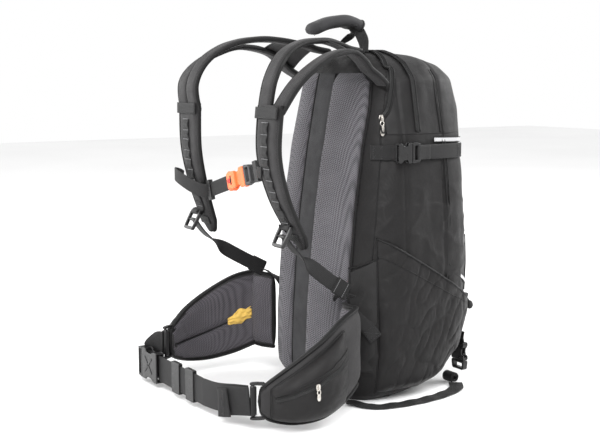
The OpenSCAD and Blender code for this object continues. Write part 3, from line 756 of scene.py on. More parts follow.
chan = []
for z in np.linspace(22, 446, 110):
    x = np.linspace(-23.5, 23.5, 21)
    y = np.array([surface_y(v, z) for v in x]) - 2.6 + 2.2 * np.abs(x / 23.5) ** 6
    chan.append(np.stack([x, y - 0.25 * BODY_WAVES[1](np.stack([x, y, np.full(21, z)], 1)),
                          np.full(21, z)], 1))
channel = thicken(grid_object("back_channel", np.array(chan), CHANNEL), 1.6, 1.0)
place(channel, "pack", ["back_board"])
for side, tag in ((1, "left"), (-1, "right")):
    edge = [(side * (np.interp(z, *np.array(PAD_IN).T) - 0.5), surface_y(20, z) - 3.4, z)
            for z in np.linspace(20, 446, 60)]
    place(tube("channel_piping_" + tag, edge, 1.5, BIND, raw=True), "pack")
    edge = []
    for z in np.linspace(18, 444, 90):
        b = float(np.interp(z, *np.array(PAD_OUT).T)) + 1.4
        edge.append((side * b, surface_y(b, z) - 1.2, z))
    place(tube("pad_piping_" + tag, edge, 1.5, BIND, raw=True), "pack")
    # seam that runs down from the main zip behind the side pocket
    seam = body_line([(68, 372), (62, 320), (56, 260), (50, 200), (44, 150)], 0.6, side)
    place(tube("flank_seam_" + tag, seam, 1.1, DARK, raw=True), "pack")


# ---------------------------------------------------------------- zips
def zip_run(name, pts, out, body, lips=3.2):
    """Covered zip: a coil between two folded cloth lips. out is the outward direction at each point."""
    pts = np.asarray(pts, float)
    out = unit(out)
    t = tangents(pts)
    w = unit(np.cross(t, out))
    parts = [sweep(name, pts + out * 0.3, band_profile(4.6, 1.2), w, COIL)]
    for s in (1, -1):
        parts.append(tube(name + "_lip", pts + w * s * lips + out * 0.5, 1.25, DARK, raw=True))
    teeth = even(np.concatenate([pts + out * 1.0, w], 1), 1.5)
    v, f = [], []
    for p in teeth:
        c, d = p[:3], unit(p[3:])
        k = len(v)
        e = unit(np.cross(d, [0.1, 0.2, 0.97]))
        g = np.cross(d, e)
        for a in (-1, 1):
            for b2 in (-1, 1):
                for h in (-1, 1):
                    v.append(c + d * a * 1.7 + e * b2 * 0.45 + g * h * 0.45)
        f += [(k, k + 1, k + 3, k + 2), (k + 4, k + 6, k + 7, k + 5), (k, k + 4, k + 5, k + 1),
              (k + 2, k + 3, k + 7, k + 6), (k, k + 2, k + 6, k + 4), (k + 1, k + 5, k + 7, k + 3)]
    parts.append(mesh_object(name + "_teeth", v, f, COIL, shade=False))
    return place(join(name, parts), body)


def over_top(field_y, start_y, z_low, off, count=53):
    """Route up one side, over the crown and down the other at depth field_y(x), with its outward directions."""
    half = []
    for z in np.linspace(z_low, 455, count):
        y = field_y(side_x(start_y, z))
        half.append((side_x(y, z), y, z))
    for x in np.linspace(half[-1][0], 0, count)[1:]:
        y = field_y(x)
        low, high = 300.0, BODY_H
        for _ in range(24):
            z = (low + high) / 2
            if side_x(y, z) > max(x, 0.5) and back_y(z) < y < front_y(z):
                low = z
            else:
                high = z
        half.append((x, y, low + 1.5))
    p = np.array(half)
    p = even(np.concatenate([p, (p * (-1, 1, 1))[::-1][1:]]), 3.0)
    for _ in range(3):
        p[1:-1] = 0.5 * p[1:-1] + 0.25 * (p[:-2] + p[2:])
    o = unit((p - np.array([0, 120, 300.0])) * (1, 0.15, 1))
    return p + o * off, o


track, away = over_top(zip_y, ZIP_SIDE_Y, 366, 0.4)
zip_run("main_zip", track - np.array([0, 1.8, 0]), away, "pack")
track, away = over_top(lambda x: POCKET_ZIP_Y, POCKET_ZIP_Y, 368, 0.5)
zip_run("front_zip", track, away, "main_lid")


def puller(name, at, outward, drop, body, node, scale=1.0):
    """Zip slider with a bail and a pull tab, flat against a surface whose outward direction is given."""
    o = unit(outward)
    down = np.array([0, 0, -1.0])
    d = unit(down - o * (down @ o))
    w = np.cross(d, o)
    at = np.asarray(at, float)
    mat = ZIP_METAL

    def slab(tag, rows, th, lift):
        """Rounded plate that stands lift off the surface; rows are (distance down, half width)."""
        low = [at + d * y + w * x + o * lift for y, x in rows]
        low += [at + d * y - w * x + o * lift for y, x in rows[::-1]]
        high = [p + o * th for p in low]
        ob = mesh_object(name + tag, low + high, prism_faces(len(low)), mat, shade=False)
        bevel(ob, 0.45, 2, 25)
        return apply_modifiers(ob)

    s = scale
    body_rows = [(-5 * s, 1.6 * s), (-4 * s, 3.0 * s), (0, 3.6 * s), (4.6 * s, 2.9 * s), (5.6 * s, 2.0 * s)]
    parts = [slab("_body", body_rows, 2.6 * s, 0.3)]
    parts.append(tube(name + "_bail", [at + d * -3.2 * s + o * 2.4 * s, at + d * -2 * s + o * 4.8 * s,
                                       at + d * 2 * s + o * 5.0 * s, at + d * 3.6 * s + o * 2.6 * s],
                      0.75 * s, mat, gap=0.8, n=6))
    ringed = [at + d * (3.5 * s + 3.6 * s * (1 - math.cos(a))) + w * 2.6 * s * math.sin(a) + o * 4.2 * s
              for a in np.linspace(0, 2 * math.pi, 17)[:-1]]
    parts.append(tube(name + "_eye", ringed, 0.8 * s, mat, raw=True, n=6, closed=True))
    tab = [(9 * s, 1.6 * s), (11 * s, 2.5 * s), (drop - 4 * s, 2.9 * s), (drop - 1.5 * s, 2.3 * s),
           (drop, 1.0 * s)]
    parts.append(slab("_tab", tab, 1.5 * s, 3.6 * s))
    parts.append(slab("_key", [(12.5 * s, 1.1 * s), (drop - 5 * s, 1.2 * s)], 0.7 * s, 5.0 * s))
    ob = join(name, parts)
    return place(ob, body, [node])


SLIDER_Z, FRONT_SLIDER_Z = 386.0, 404
for side, tag in ((1, "left"), (-1, "right")):
    puller("main_zip_slider_" + tag, on_body(ZIP_SIDE_Y - 2.0, SLIDER_Z, 1.2, side), (side, -0.25, 0.12), 24,
           "main_slider_" + tag, "main_slider_" + tag)
puller("front_zip_slider", on_body(POCKET_ZIP_Y - 0.5, FRONT_SLIDER_Z, 1.4, -1), (-1, 0, 0.15), 24,
       "front_slider",
       "front_slider")


# ---------------------------------------------------------------- shoulder straps
PAD_ROUTES = [[[95, -97, 406], [96, -101, 345], [100, -90, 292], [105, -72, 250], [108, -56, 222]],
              [[95, -118, 406], [96, -117, 345], [100, -105, 292], [105, -90, 250], [107, -79, 222]]]
INNER_ARMS = [[[81, -98, 396], [74, -86, 436], [63, -62, 468], [53, -30, 485], [46, 8, 490], [42, 32, 487]],
              [[81, -117, 396], [78, -122, 432], [72, -106, 464], [62, -72, 486], [52, -24, 494],
               [42, 32, 487]]]
OUTER_ARMS = [[[110, -97, 396], [116, -70, 436], [117, -28, 466], [112, 8, 474], [107, 30, 465],
               [103, 44, 453]],
              [[110, -117, 396], [114, -116, 436], [113, -86, 466], [109, -36, 484], [106, 16, 476],
               [103, 44, 453]]]
INNER_ROOT = [[40, 52, 481], [38, 72, 477.5]]
OUTER_ROOT = [[101, 60, 443], [100, 72, 433]]
STRAP_FOOT = [112, 8, 157]
LOWER_ROUTES = [[[109, -69, 217], [111, -48, 198], [112, -20, 176], STRAP_FOOT],
                [[109, -90, 217], [111, -62, 196], [112, -26, 175], STRAP_FOOT]]
BUCKLES_AT = [[109, -84, 250], [109, -104, 250]]
STRAP_W, STRAP_T, ARM_W = 58.0, 10.0, 29.0


def foam_strap(name, path, widths, thick, wide, mat, wave_seed):
    """Foam strap between two faces: rolled edges, shallow dimples, a bound edge all round its rim."""
    path = np.asarray(path, float)
    waves = Waves(wave_seed, 34)
    prof = []
    for k in range(len(path)):
        p = pad_section(widths[k], thick, 44)
        q = np.abs(p[:, 0]) / (widths[k] / 2)
        pinch = 1 - 0.55 * np.clip((q - 0.70) / 0.3, 0, 1) ** 1.3
        spot = np.stack([p[:, 0], np.full(len(p), k * 2.5), np.sign(p[:, 1]) * 40], 1)
        p[:, 1] = p[:, 1] * pinch * (1 + 0.07 * waves(spot))
        prof.append(p)
    o = sweep(name, path, np.array(prof), wide, mat)
    _, w, nrm = frames(path, wide)
    parts = [o]
    for s in (1, -1):
        edge = path + w * (s * (np.asarray(widths)[:, None] / 2 + 0.2))
        parts.append(sweep(name + "_rim", edge, oval(1.5, 2.945), w, BIND))
        for face in (1, -1):
            seam = path + w * (s * (np.asarray(widths)[:, None] / 2 - 3.4)) + nrm * (face * thick * 0.37)
            parts.append(stitch_line(name + "_stitch", seam, 0.32, THREAD, 3.6, 2.4))
    return parts


def strap_side(k, side, tag):
    """Pads, arms, webbing and trims of one shoulder strap."""
    body = "strap_" + tag
    sx = np.array([side, 1, 1])
    pad = even(smooth(PAD_ROUTES[k], 10), 2.5)
    s = np.linspace(0, 1, len(pad))
    widths = STRAP_W * (1 - 0.38 * s ** 2)
    tip = np.clip((1 - s) / 0.10, 0, 1)
    widths = widths * (0.34 + 0.66 * tip ** 0.7)
    widths[0:2] *= 0.98
    parts = foam_strap("strap_pad_" + tag, pad * sx, widths, STRAP_T, (side, 0, 0), STRAP, 41 + k)
    t, _, nrm = frames(pad * sx, (side, 0, 0))
    if nrm[len(nrm) // 2][1] > 0:
        nrm = -nrm

    def on_pad(u, off, x=0.0):
        """Point at share u of the pad's length, off mm from its middle surface and x mm across."""
        i = int(round(u * (len(pad) - 1)))
        return pad[i] * sx + nrm[i] * off + np.array([side * x, 0, 0])

    # bar across the join of the arms, daisy chain and folded tip
    bar = [on_pad(0.045, STRAP_T / 2 + 0.9, x) for x in np.linspace(-28, 28, 12)]
    parts.append(sweep("join_bar_" + tag, bar, band_profile(15, 1.5), t[3], WEB_DARK))
    daisy = []
    lift = [0, 0, 2.2, 3.0, 2.2, 0]
    for c in range(9):
        for j, h in enumerate(lift):
            u = 0.12 + 0.66 * (c + j / len(lift)) / 9
            daisy.append(on_pad(u, STRAP_T / 2 + 0.9 + h * 0.55, 0))
    parts.append(ribbon("daisy_web_" + tag, np.array(daisy), 14.5, 1.3, (1, 0, 0), WEB, raw=True))
    for c in range(10):
        u = 0.12 + 0.66 * c / 9
        ends_ = [on_pad(u, STRAP_T / 2 + 2.1, x) for x in (-7, 0, 7)]
        parts.append(stitch_line("daisy_tack_" + tag, np.array(ends_), 0.6, PALE_THREAD, 2.2, 1.4))
    tipcap = [on_pad(0.90, STRAP_T / 2 + 0.6, x) for x in np.linspace(-14, 14, 8)]
    parts.append(sweep("tip_patch_" + tag, tipcap, band_profile(12, 1.4), t[-3], WEB_DARK))
    at_u = int(np.argmin(np.linalg.norm(pad - (np.array(BUCKLES_AT[k]) + (0, 14, 8)), axis=1)))
    face = pad[at_u] * sx + nrm[at_u] * (STRAP_T / 2 + 0.8)
    up = pad[max(at_u - 9, 0)] * sx + nrm[max(at_u - 9, 0)] * (STRAP_T / 2 + 0.9)
    bar_at = np.array(BUCKLES_AT[k], float) * sx
    tab = [up, face, bar_at + (0, 2.9, 1.0), bar_at + (0, 1.2, -2.9), bar_at + (0, -2.4, -1.6),
           bar_at + (0, -1.5, 2.9), face + nrm[at_u] * 1.8 + (0, 0, 3), up + nrm[at_u] * 1.6]
    parts.append(ribbon("buckle_tab_" + tag, np.array(tab), 19.5, 1.4, (1, 0, 0), WEB, gap=1.5))
    pad_obj = join("strap_pad_" + tag, parts)
    place(pad_obj, body, ["strap_" + tag])

    # two arms, sewn to the pack's top edge and to the pad
    for arm, root, wname, seed in ((INNER_ARMS[k], INNER_ROOT, "inner", 51),
                                   (OUTER_ARMS[k], OUTER_ROOT, "outer", 57)):
        route = even(smooth(arm + root, 9), 3.0) * sx
        q = np.linspace(0, 1, len(route))
        wid = np.full(len(route), ARM_W) * (1 - 0.12 * q)
        wid[0] *= 0.9
        ap = foam_strap("arm_%s_%s" % (wname, tag), route, wid, STRAP_T - 1.6, (side, 0, 0), STRAP, seed + k)
        ao = join("arm_%s_%s" % (wname, tag), ap)
        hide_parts("yoke_panel")
        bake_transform(ao)

    # bridging panel between the arms, close to the pack
    ia = even(smooth(INNER_ARMS[k] + INNER_ROOT, 9), 1.0)
    oa = even(smooth(OUTER_ARMS[k] + OUTER_ROOT, 9), 1.0)
    rows = []
    for v in np.linspace(0, 1, 22):
        y = (12 - 8 * k) + v * 46
        pa = ia[int(np.argmin(np.abs(ia[:, 1] - y) + (ia[:, 2] < 440) * 99))]
        pb = oa[int(np.argmin(np.abs(oa[:, 1] - y) + (oa[:, 2] < 425) * 99))]
        q = np.linspace(0, 1, 26)[:, None]
        pts = pa + (0.4, 0, 0.2) + (pb - pa) * q
        pts[:, 2] += 3.0 * np.sin(np.pi * q[:, 0]) - 1.0
        rows.append(pts * sx)
    bridge = thicken(grid_object("arm_bridge_" + tag, np.array(rows), STRAP), 2.2, 0)
    rim = tube("bridge_rim", rows[0], 1.7, BIND, raw=True)
    bridge = join("arm_bridge_" + tag, [bridge, rim])
    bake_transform(bridge)

    # lower webbing through the ladder lock down to the pack
    lock = np.array(BUCKLES_AT[k], float)
    hang = np.array([0, -0.469, -0.883])
    head = [list(lock + hang * 10 + (0, 2.8, 0)), list(lock + hang * 16 + (0, 6.5, 0))]
    low = even(smooth(head + LOWER_ROUTES[k], 8), 3.0) * sx
    u = np.linspace(0, 1, len(low))[:, None]
    blendin = np.clip((u - 0.22) / 0.35, 0, 1)
    blendin = blendin * blendin * (3 - 2 * blendin)
    lt = tangents(low)
    flatwise = unit(np.cross(lt, np.broadcast_to([float(side), 0, 0], lt.shape)))
    turn_w = unit(np.array([1.0, 0, 0]) * (1 - blendin) + flatwise * side * blendin)
    web = sweep("strap_webbing_vis_" + tag, low, band_profile(20, 1.8), turn_w, WEB)
    foot = low[-9:]
    _, fw, fn = frames(foot, turn_w[-9:])
    if fn[0][0] * side < 0:
        fn = -fn
    patch = sweep("foot_patch", foot + fn * 1.5, band_profile(23, 1.6), turn_w[-9:], WEB_DARK)
    marks = [stitch_line("foot_stitch", np.array([foot[i] + fn[i] * 2.6 + fw[i] * x for x in (-9, 9)]),
                         0.45, PALE_THREAD, 2.4, 1.7) for i in (1, 6)]
    web = join("strap_webbing_vis_" + tag, [web, patch] + marks)
    place(web, body, ["strap_webbing_" + tag])


for side, tag, k in ((1, "left", 0), (-1, "right", 1)):
    strap_side(k, side, tag)


# ---------------------------------------------------------------- hip belt wings
HIP, TIP = (138, 6), (130, -146)
RIGHT_RISE = 22
# plan x and y, then the height of the upper and the lower edge
WING_ROUTE = [(96, 15, 138, 40), (112, 6, 140, 40), (126, 3.5, 140, 40), (138, 4, 140, 38),
              (150, -25, 130, 22),
              (158, -62, 108, 10), (154, -100, 84, 8), (141, -128, 62, 14), (135.5, -137, 52, 24)]


def wing_rows(rise, gap=3.0):
    """Along a wing: plan point, upper and lower edge; the right wing's tip sits higher."""
    p = even(smooth([(x, y, 0, top, low) for x, y, top, low in WING_ROUTE], 10), gap)
    start = np.argmin(np.hypot(p[:, 0] - HIP[0], p[:, 1] - HIP[1]))
    s = np.clip((np.arange(len(p)) - start) / (len(p) - 1 - start), 0, 1)
    p[:, 4] += rise * s
    p[:, 3] += rise * (0.45 + 0.55 * s)
    return p, s


def slit_height(q, s):
    """Height of the slit between the two lobes of a wing, at row q and share s of its length."""
    return q[4] + (q[3] - q[4]) * (0.44 - 0.06 * s)


def wing(side, rise, tag):
    """Padded belt wing with a mesh inner face, a bound rim and a slit between its lobes."""
    p, s = wing_rows(rise)
    t = unit(np.gradient(p[:, :2], axis=0))
    out = np.stack([-t[:, 1], t[:, 0], np.zeros(len(t))], 1)
    if out[len(out) // 2][0] < 0:
        out = -out
    sections = []
    waves = Waves(71 + side, 44)
    for k, q in enumerate(p):
        h, zc = q[3] - q[4], (q[3] + q[4]) / 2
        sec = pad_section(h, 14.0, 60, square=5.5, round_=2.4)
        frac = np.abs(sec[:, 0]) / (h / 2)
        sec[:, 1] *= 1 - 0.5 * np.clip((frac - 0.72) / 0.28, 0, 1) ** 1.4
        pts = np.array([q[0], q[1], zc]) + sec[:, :1] * np.array([0, 0, 1.0]) + sec[:, 1:] * out[k]
        inner_side = sec[:, 1] < 0
        # groove between the upper and lower lobe of the inner face, fading out at both ends
        fade = np.clip(s[k] / 0.15, 0, 1) * np.clip((1.0 - s[k]) / 0.08, 0, 1)
        groove = np.exp(-((pts[:, 2] - slit_height(q, s[k])) / 4.2) ** 2) * inner_side * fade
        pts += out[k] * (groove * 4.6)[:, None]
        pts += out[k] * ((0.55 * waves(pts)) * np.where(inner_side, -1, 1) * (1 - frac ** 2))[:, None]
        sections.append(pts)
    g = np.array(sections)
    g[:, :, 0] *= side
    o = grid_object("wing_" + tag, g, STRAP, wrap=True, caps=True)
    o.data.materials.append(WINGMESH)
    # mesh cloth on the inner face
    mi = []
    for f in o.data.polygons:
        c = drawn(f.center)
        k = int(np.argmin(np.hypot(p[:, 0] - side * c.x, p[:, 1] - c.y)))
        rel = (side * c.x - p[k, 0]) * out[k][0] + (c.y - p[k, 1]) * out[k][1]
        h = p[k, 3] - p[k, 4]
        mi.append(1 if rel < -1.5 and abs(c.z - (p[k, 3] + p[k, 4]) / 2) < h * 0.46 else 0)
    o.data.polygons.foreach_set("material_index", mi)
    parts = [o]
    # bound rim round the upper and lower edge and the tip
    rim_up = np.stack([p[:, 0], p[:, 1], p[:, 3] + 0.3], 1)
    rim_low = np.stack([p[:, 0], p[:, 1], p[:, 4] - 0.3], 1)
    tip = [[rim_up[-1][0] - 1, rim_up[-1][1] - 2, (rim_up[-1][2] + rim_low[-1][2]) / 2]]
    rim = even(np.concatenate([rim_up, tip, rim_low[::-1]]), 2.5)
    rim[:, 2] = np.maximum(rim[:, 2], 5.0)
    across = np.array([out[int(np.argmin(np.hypot(p[:, 0] - c[0], p[:, 1] - c[1])))] for c in rim])
    parts.append(sweep("wing_rim", rim * (side, 1, 1), oval(4.6, 2.3, 14), across * (side, 1, 1), BIND))
    line = np.array([[q[0], q[1], slit_height(q, s[i])] + out[i] * -3.3
                     for i, q in enumerate(p) if 0.08 < s[i] < 0.95])
    parts.append(tube("wing_slit", line * (side, 1, 1), 1.2, BIND, raw=True))
    for d in (6.5, -6.5):
        seam = (line + np.array([0, 0, d]) + out[10] * -3.0) * (side, 1, 1)
        parts.append(stitch_line("wing_seam", seam, 0.35, PALE_THREAD, 3.4, 2.2))
    o = join("wing_" + tag, parts)
    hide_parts("belt_wing_" + tag, "belt_base_" + tag)
    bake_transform(o)

    if side == -1:
        tucked_lining(p, s, out, side, tag)
    return p, s, out


def tucked_lining(p, s, out, side, tag):
    """Crumpled lining tucked in the slit near the root of a wing's inner face."""
    rows = []
    first, last = int(np.argmax(s > 0.0)), int(np.argmax(s > 0.27))
    for i in range(first, last + 1):
        q, u = p[i], (i - first) / (last - first)
        tall = (9.5 + 2.2 * math.sin(i * 0.9)) * math.sin(math.pi * min(1, u * 0.85 + 0.13)) ** 0.5 + 1.5
        v = np.linspace(-1, 1, 17)
        bulge = 3.4 * np.cos(v * math.pi / 2) ** 0.7 * math.sin(math.pi * (0.06 + 0.9 * u)) ** 0.5
        crumple = (1.5 * np.abs(np.sin(v * 4 + i * 0.55)) + 0.9 * np.sin(v * 9 - i * 0.8)
                   + 0.5 * np.sin(i * 1.7 + v * 3))
        base = np.array([q[0], q[1], 0]) - out[i] * 5.2
        rise = np.stack([0 * v, 0 * v, slit_height(q, s[i]) + 2 + v * tall], 1)
        rows.append(base - out[i] * (bulge + crumple * 0.8 + 0.2)[:, None] + rise)
    g = np.array(rows)
    g[:, :, 0] *= side
    place(thicken(grid_object("wing_lining_" + tag, g, YELLOW), 0.8, 0), "belt_wing_" + tag)


def belt_pocket(side, rise, tag, p, s, out):
    """Zipped pouch on the outer face of a wing, with piping, a flap edge and a slider."""
    body = "belt_wing_" + tag
    a, b = int(np.argmax(s > 0.22)), int(np.argmax(s > 0.93))
    waves, fold = Waves(81 + side, 36), Waves(83 + side, 22)
    rows = []
    for i in range(a, b):
        q = p[i]
        u = (i - a) / (b - 1 - a)
        low, top = q[4] + 4, q[3] - 9
        h = top - low
        end = min(1.0, (u / 0.06) ** 0.5 if u < 0.06 else 1.0, ((1 - u) / 0.09) ** 0.5 if u > 0.91 else 1.0)
        v = np.linspace(0, 1, 40)
        belly = (7.2 + 15.0 * math.sin(math.pi * u) ** 0.8) * end
        crown = np.minimum(1, (1 - np.abs(2 * v - 1) ** 4.5)) ** 0.55
        prof = crown * (0.86 + 0.14 * np.sin(math.pi * v ** 0.8))
        c = np.array([q[0], q[1], 0.0]) + out[i] * 6.6
        pts = c + out[i] * (belly * prof)[:, None] + np.stack([0 * v, 0 * v, low + h * v], 1)
        crease = fold.creases(pts, 4.5) * np.clip(1.2 - np.abs(2 * v - 0.55), 0, 1) * end
        pts += out[i] * ((0.7 * waves(pts) - 1.1 * crease + 0.4) * np.sin(math.pi * v) * end)[:, None]
        # zip groove above a gusset
        z_at = low + h * (0.70 - 0.10 * u)
        pts -= out[i] * (1.3 * np.exp(-((pts[:, 2] - z_at) / 2.6) ** 2) * (0.04 < u < 0.96))[:, None]
        rows.append(pts)
    g = np.array(rows)
    g[:, :, 0] *= side
    o = grid_object("belt_pocket_cloth_" + tag, g, BLACK)
    o = thicken(o, 1.6, 0)
    place(o, body, ["belt_pocket_" + tag])
    # zip, its lips and the flap's folded edge
    zl, fl = [], []
    for j, r_ in enumerate(rows):
        u = j / (len(rows) - 1)
        low, h = r_[0][2], r_[-1][2] - r_[0][2]
        k = int(np.argmin(np.abs(r_[:, 2] - (low + h * (0.70 - 0.10 * u)))))
        if 0.05 < u < 0.95:
            zl.append(r_[k] + out[a + j] * 0.9)
            k2 = int(np.argmin(np.abs(r_[:, 2] - (low + h * (0.80 - 0.06 * u)))))
            fl.append(r_[k2] + out[a + j] * 1.0)
    zl, fl = np.array(zl), np.array(fl)
    zl[:, 0] *= side
    fl[:, 0] *= side
    outs = np.array([out[a + j] * (side, 1, 1) for j in range(len(rows))
                     if 0.05 < j / (len(rows) - 1) < 0.95])
    zip_run("belt_zip_" + tag, even(zl, 3.0), even(np.concatenate([zl, outs], 1), 3.0)[:, 3:], body, 2.6)
    place(tube("belt_flap_edge_" + tag, fl, 1.2, BIND, raw=True), body)
    lo, hi = (np.array([r_[end_] + out[a + j] * 0.4 for j, r_ in enumerate(rows)]) for end_ in (0, -1))
    loop = np.concatenate([lo, hi[::-1]])
    loop[:, 0] *= side
    loop = even(np.concatenate([loop, loop[:1]]), 3.0)[:-1]
    place(tube("belt_pocket_piping_" + tag, loop, 1.3, BIND, raw=True, closed=True), body)
    # slider near the middle of the zip
    k = int(np.argmin(np.linalg.norm(zl - np.array([side * 190.5, -84, 60 + rise * 0.7]), axis=1)))
    puller("belt_zip_slider_" + tag, zl[k] + outs[k] * 0.8, outs[k], 17, "belt_slider_" + tag,
           "belt_slider_" + tag, scale=0.85)


for side, tag, rise in ((1, "left", 0), (-1, "right", RIGHT_RISE)):
    belt_pocket(side, rise, tag, *wing(side, rise, tag))


# ---------------------------------------------------------------- side pockets, fins and body seams
def fin_grid(side, low_back, low_front, high_front, high_back, stand=2.6, across=24, up=60):
    """Points of a cloth panel over the side of the body; its corners are (y, z)."""
    c = np.array([low_back, low_front, high_front, high_back], float)
    rows = []
    for v in np.linspace(0, 1, up):
        a, b = c[0] + (c[3] - c[0]) * v, c[1] + (c[2] - c[1]) * v
        row = []
        for u in np.linspace(0, 1, across):
            y, z = a + (b - a) * u
            off = stand * min(1.0, 0.35 + 3.2 * min(u, 1 - u))
            row.append((side * (side_x(min(y, 212), z) + off), y, z))
        rows.append(row)
    return np.array(rows)


POCKET_BACK_Y, POCKET_FRONT_Y, POCKET_END_Y = 54, 208, 226
MOUTH_BACK_Z, MOUTH_FRONT_Z = 226, 132


def pocket_point(u, v):
    """Depth and height on a side pocket, u from its back to its front edge, v from its foot to its mouth."""
    y = POCKET_BACK_Y + u * (POCKET_END_Y - POCKET_BACK_Y)
    along = min(1, u * (POCKET_END_Y - POCKET_BACK_Y) / (POCKET_FRONT_Y - POCKET_BACK_Y))
    top = MOUTH_BACK_Z - (MOUTH_BACK_Z - MOUTH_FRONT_Z) * along
    low = 13 + 62 * max(0.0, (u - 0.62) / 0.38) ** 1.25
    z = low + (top - low) * v
    return min(y, front_y(z) - 14), z


for side, tag in ((1, "left"), (-1, "right")):
    w1, w2 = Waves(91 + side, 60), Waves(95 + side, 34, stretch=(1, 0.7, 1.8))
    w3 = Waves(97, 18, stretch=(1, 0.6, 1.5))
    U, V = np.meshgrid(np.linspace(0, 1, 96), np.linspace(0, 1, 72))
    base = np.zeros(U.shape + (3,))
    for i, j in np.ndindex(U.shape):
        y, z = pocket_point(U[i, j], V[i, j])
        base[i, j] = side_x(y, z), y, z
    flat = base.reshape(-1, 3)
    edge = np.clip(np.minimum(np.minimum(U, 1 - U) / 0.05, V / 0.05), 0, 1) ** 0.6
    crease = (w2.creases(flat, 4.5) * 1.9 + w3.creases(flat, 5.0) * 0.7).reshape(U.shape)
    stand = 1.8 + edge * (5.4 + 1.6 * w1(flat).reshape(U.shape) - crease + 2.0 * np.sin(np.pi * U) * V)
    base[:, :, 0] += stand
    base[:, :, 1] += np.where(U > 0.85, (U - 0.85) * 16, 0)
    base[:, :, 0] *= side
    po = thicken(grid_object("side_pocket_cloth_" + tag, base, BLACK), 1.3, 0)
    pieces = [po]
    for edge_name, line, lift, r_, cloth in (
            ("pocket_mouth", base[-1], 0.3, 1.7, BIND), ("pocket_hem", base[-9], 0.7, 0.75, DARK),
            ("pocket_back_edge", base[:, 0], 0.3, 1.2, BIND),
            ("pocket_front_edge", base[:, -1], 0.3, 1.2, BIND),
            ("pocket_low_edge", base[0], 0.3, 1.2, BIND)):
        pieces.append(tube(edge_name, line + (side * lift, 0, 0), r_, cloth, raw=True))
    place(join("side_pocket_cloth_" + tag, pieces), "pack", ["side_pocket_" + tag])

    fin = fin_grid(side, (22, 42), (56, 42), (56, 200), (22, 172))
    fin = thicken(grid_object("fin_" + tag, fin, FLANK), 1.4, 0)
    outline = smooth([(22, 44), (21, 100), (22, 172), (38, 188), (55, 199)], 8)
    edge = [on_body(y, z, 3.4, side) for y, z in outline]
    place(join("fin_" + tag, [fin, tube("fin_edge", edge, 1.2, BIND, raw=True)]), "pack",
          ["hip_fin_" + tag])

    # long seams of the outer face, on the fixed part and on the lid
    for y_at in (158, 163, 208):
        for z0, z1, body in ((140, LID_Z - 2, "pack"), (LID_Z + 2, 452, "front_lid")):
            at = [z for z in np.linspace(z0, z1, 60) if y_at < front_y(z) - 22]
            if len(at) > 4:
                seam = even([on_body(y_at - 6 * math.cos(z / 70), z, 1.1, side) for z in at], 3.0)
                place(tube("face_seam_%d_%s" % (y_at, tag), seam, 0.8, DARK, raw=True), body)


# ---------------------------------------------------------------- webbing, buckles and tape
class Axes:
    """Local axes: across the webbing, along it and out of it, with an origin."""

    def __init__(self, at, across, along):
        self.at, self.a, self.l = np.asarray(at, float), unit(across), unit(along)
        self.o = np.cross(self.a, self.l)

    def __call__(self, u, v, h=0.0):
        return self.at + self.a * u + self.l * v + self.o * h


def plate(name, ax, outline, h0, h1, mat, r=0.9, seg=3):
    """Flat moulding with a rounded rim: an outline in (across, along), between two heights."""
    low = [ax(u, v, h0) for u, v in outline]
    top = [ax(u, v, h1) for u, v in outline]
    o = mesh_object(name, low + top, prism_faces(len(outline)), mat, shade=False)
    bm = bmesh.new()
    bm.from_mesh(o.data)
    bmesh.ops.recalc_face_normals(bm, faces=bm.faces)
    bm.to_mesh(o.data)
    bm.free()
    bevel(o, r, seg, 28)
    return apply_modifiers(o)


def mirrored(half):
    """Outline that is symmetrical across: the right half from bottom to top, then the left half back."""
    return list(half) + [(-u, v) for u, v in half[::-1]]


def socket(name, ax, w, depth, t, mat, mark=True):
    """Side-release socket with its mouth at 0 and its strap end at -depth."""
    hw, e, d = w / 2 + 4, t / 2, depth
    walls = mirrored([(hw - 1.4, -d), (hw - 0.4, -d * 0.86), (hw - 2.0, -d * 0.72), (hw - 4.6, -d * 0.62),
                      (hw - 5.2, -d * 0.45),
                      (hw - 4.2, -d * 0.30), (hw - 0.4, -d * 0.24), (hw, -d * 0.1), (hw - 0.8, 0)])
    parts = [plate(name, ax, walls, e - 2.2, e, mat, 0.9),
             plate(name + "_under", ax, walls, -e, -e + 2.2, mat, 0.9)]
    for s in (1, -1):
        rail = [(s * (hw - 1.6), -d + 0.2), (s * (hw - 0.9), -d * 0.85), (s * (hw - 2.2), -d * 0.72),
                (s * (w / 2 + 0.5), -d * 0.70), (s * (w / 2 + 0.5), -d + 0.2)]
        parts.append(plate(name + "_rail", ax, rail if s > 0 else rail[::-1], -e + 0.6, e - 0.6, mat, 0.5))
        lipp = [(s * (hw - 0.6), 0.0), (s * (hw - 0.6), -d * 0.14), (s * (hw - 4.6), -d * 0.14),
                (s * (hw - 4.6), 0.0)]
        parts.append(plate(name + "_lip", ax, lipp, -e + 0.6, e - 0.6, mat, 0.5))
    for h in (e - 2.9, -e + 0.7):
        parts.append(plate(name + "_bar", ax, mirrored([(hw - 5, -d), (hw - 5, -d + 3)]), h, h + 2.2, mat,
                           0.8))
    if mark:
        ridge = mirrored([(w * 0.10, -d * 0.62), (w * 0.26, -d * 0.40), (w * 0.20, -d * 0.16)])
        parts.append(plate(name + "_ridge", ax, ridge, e - 0.4, e + 0.5, mat, 0.4))
    return join(name, parts)


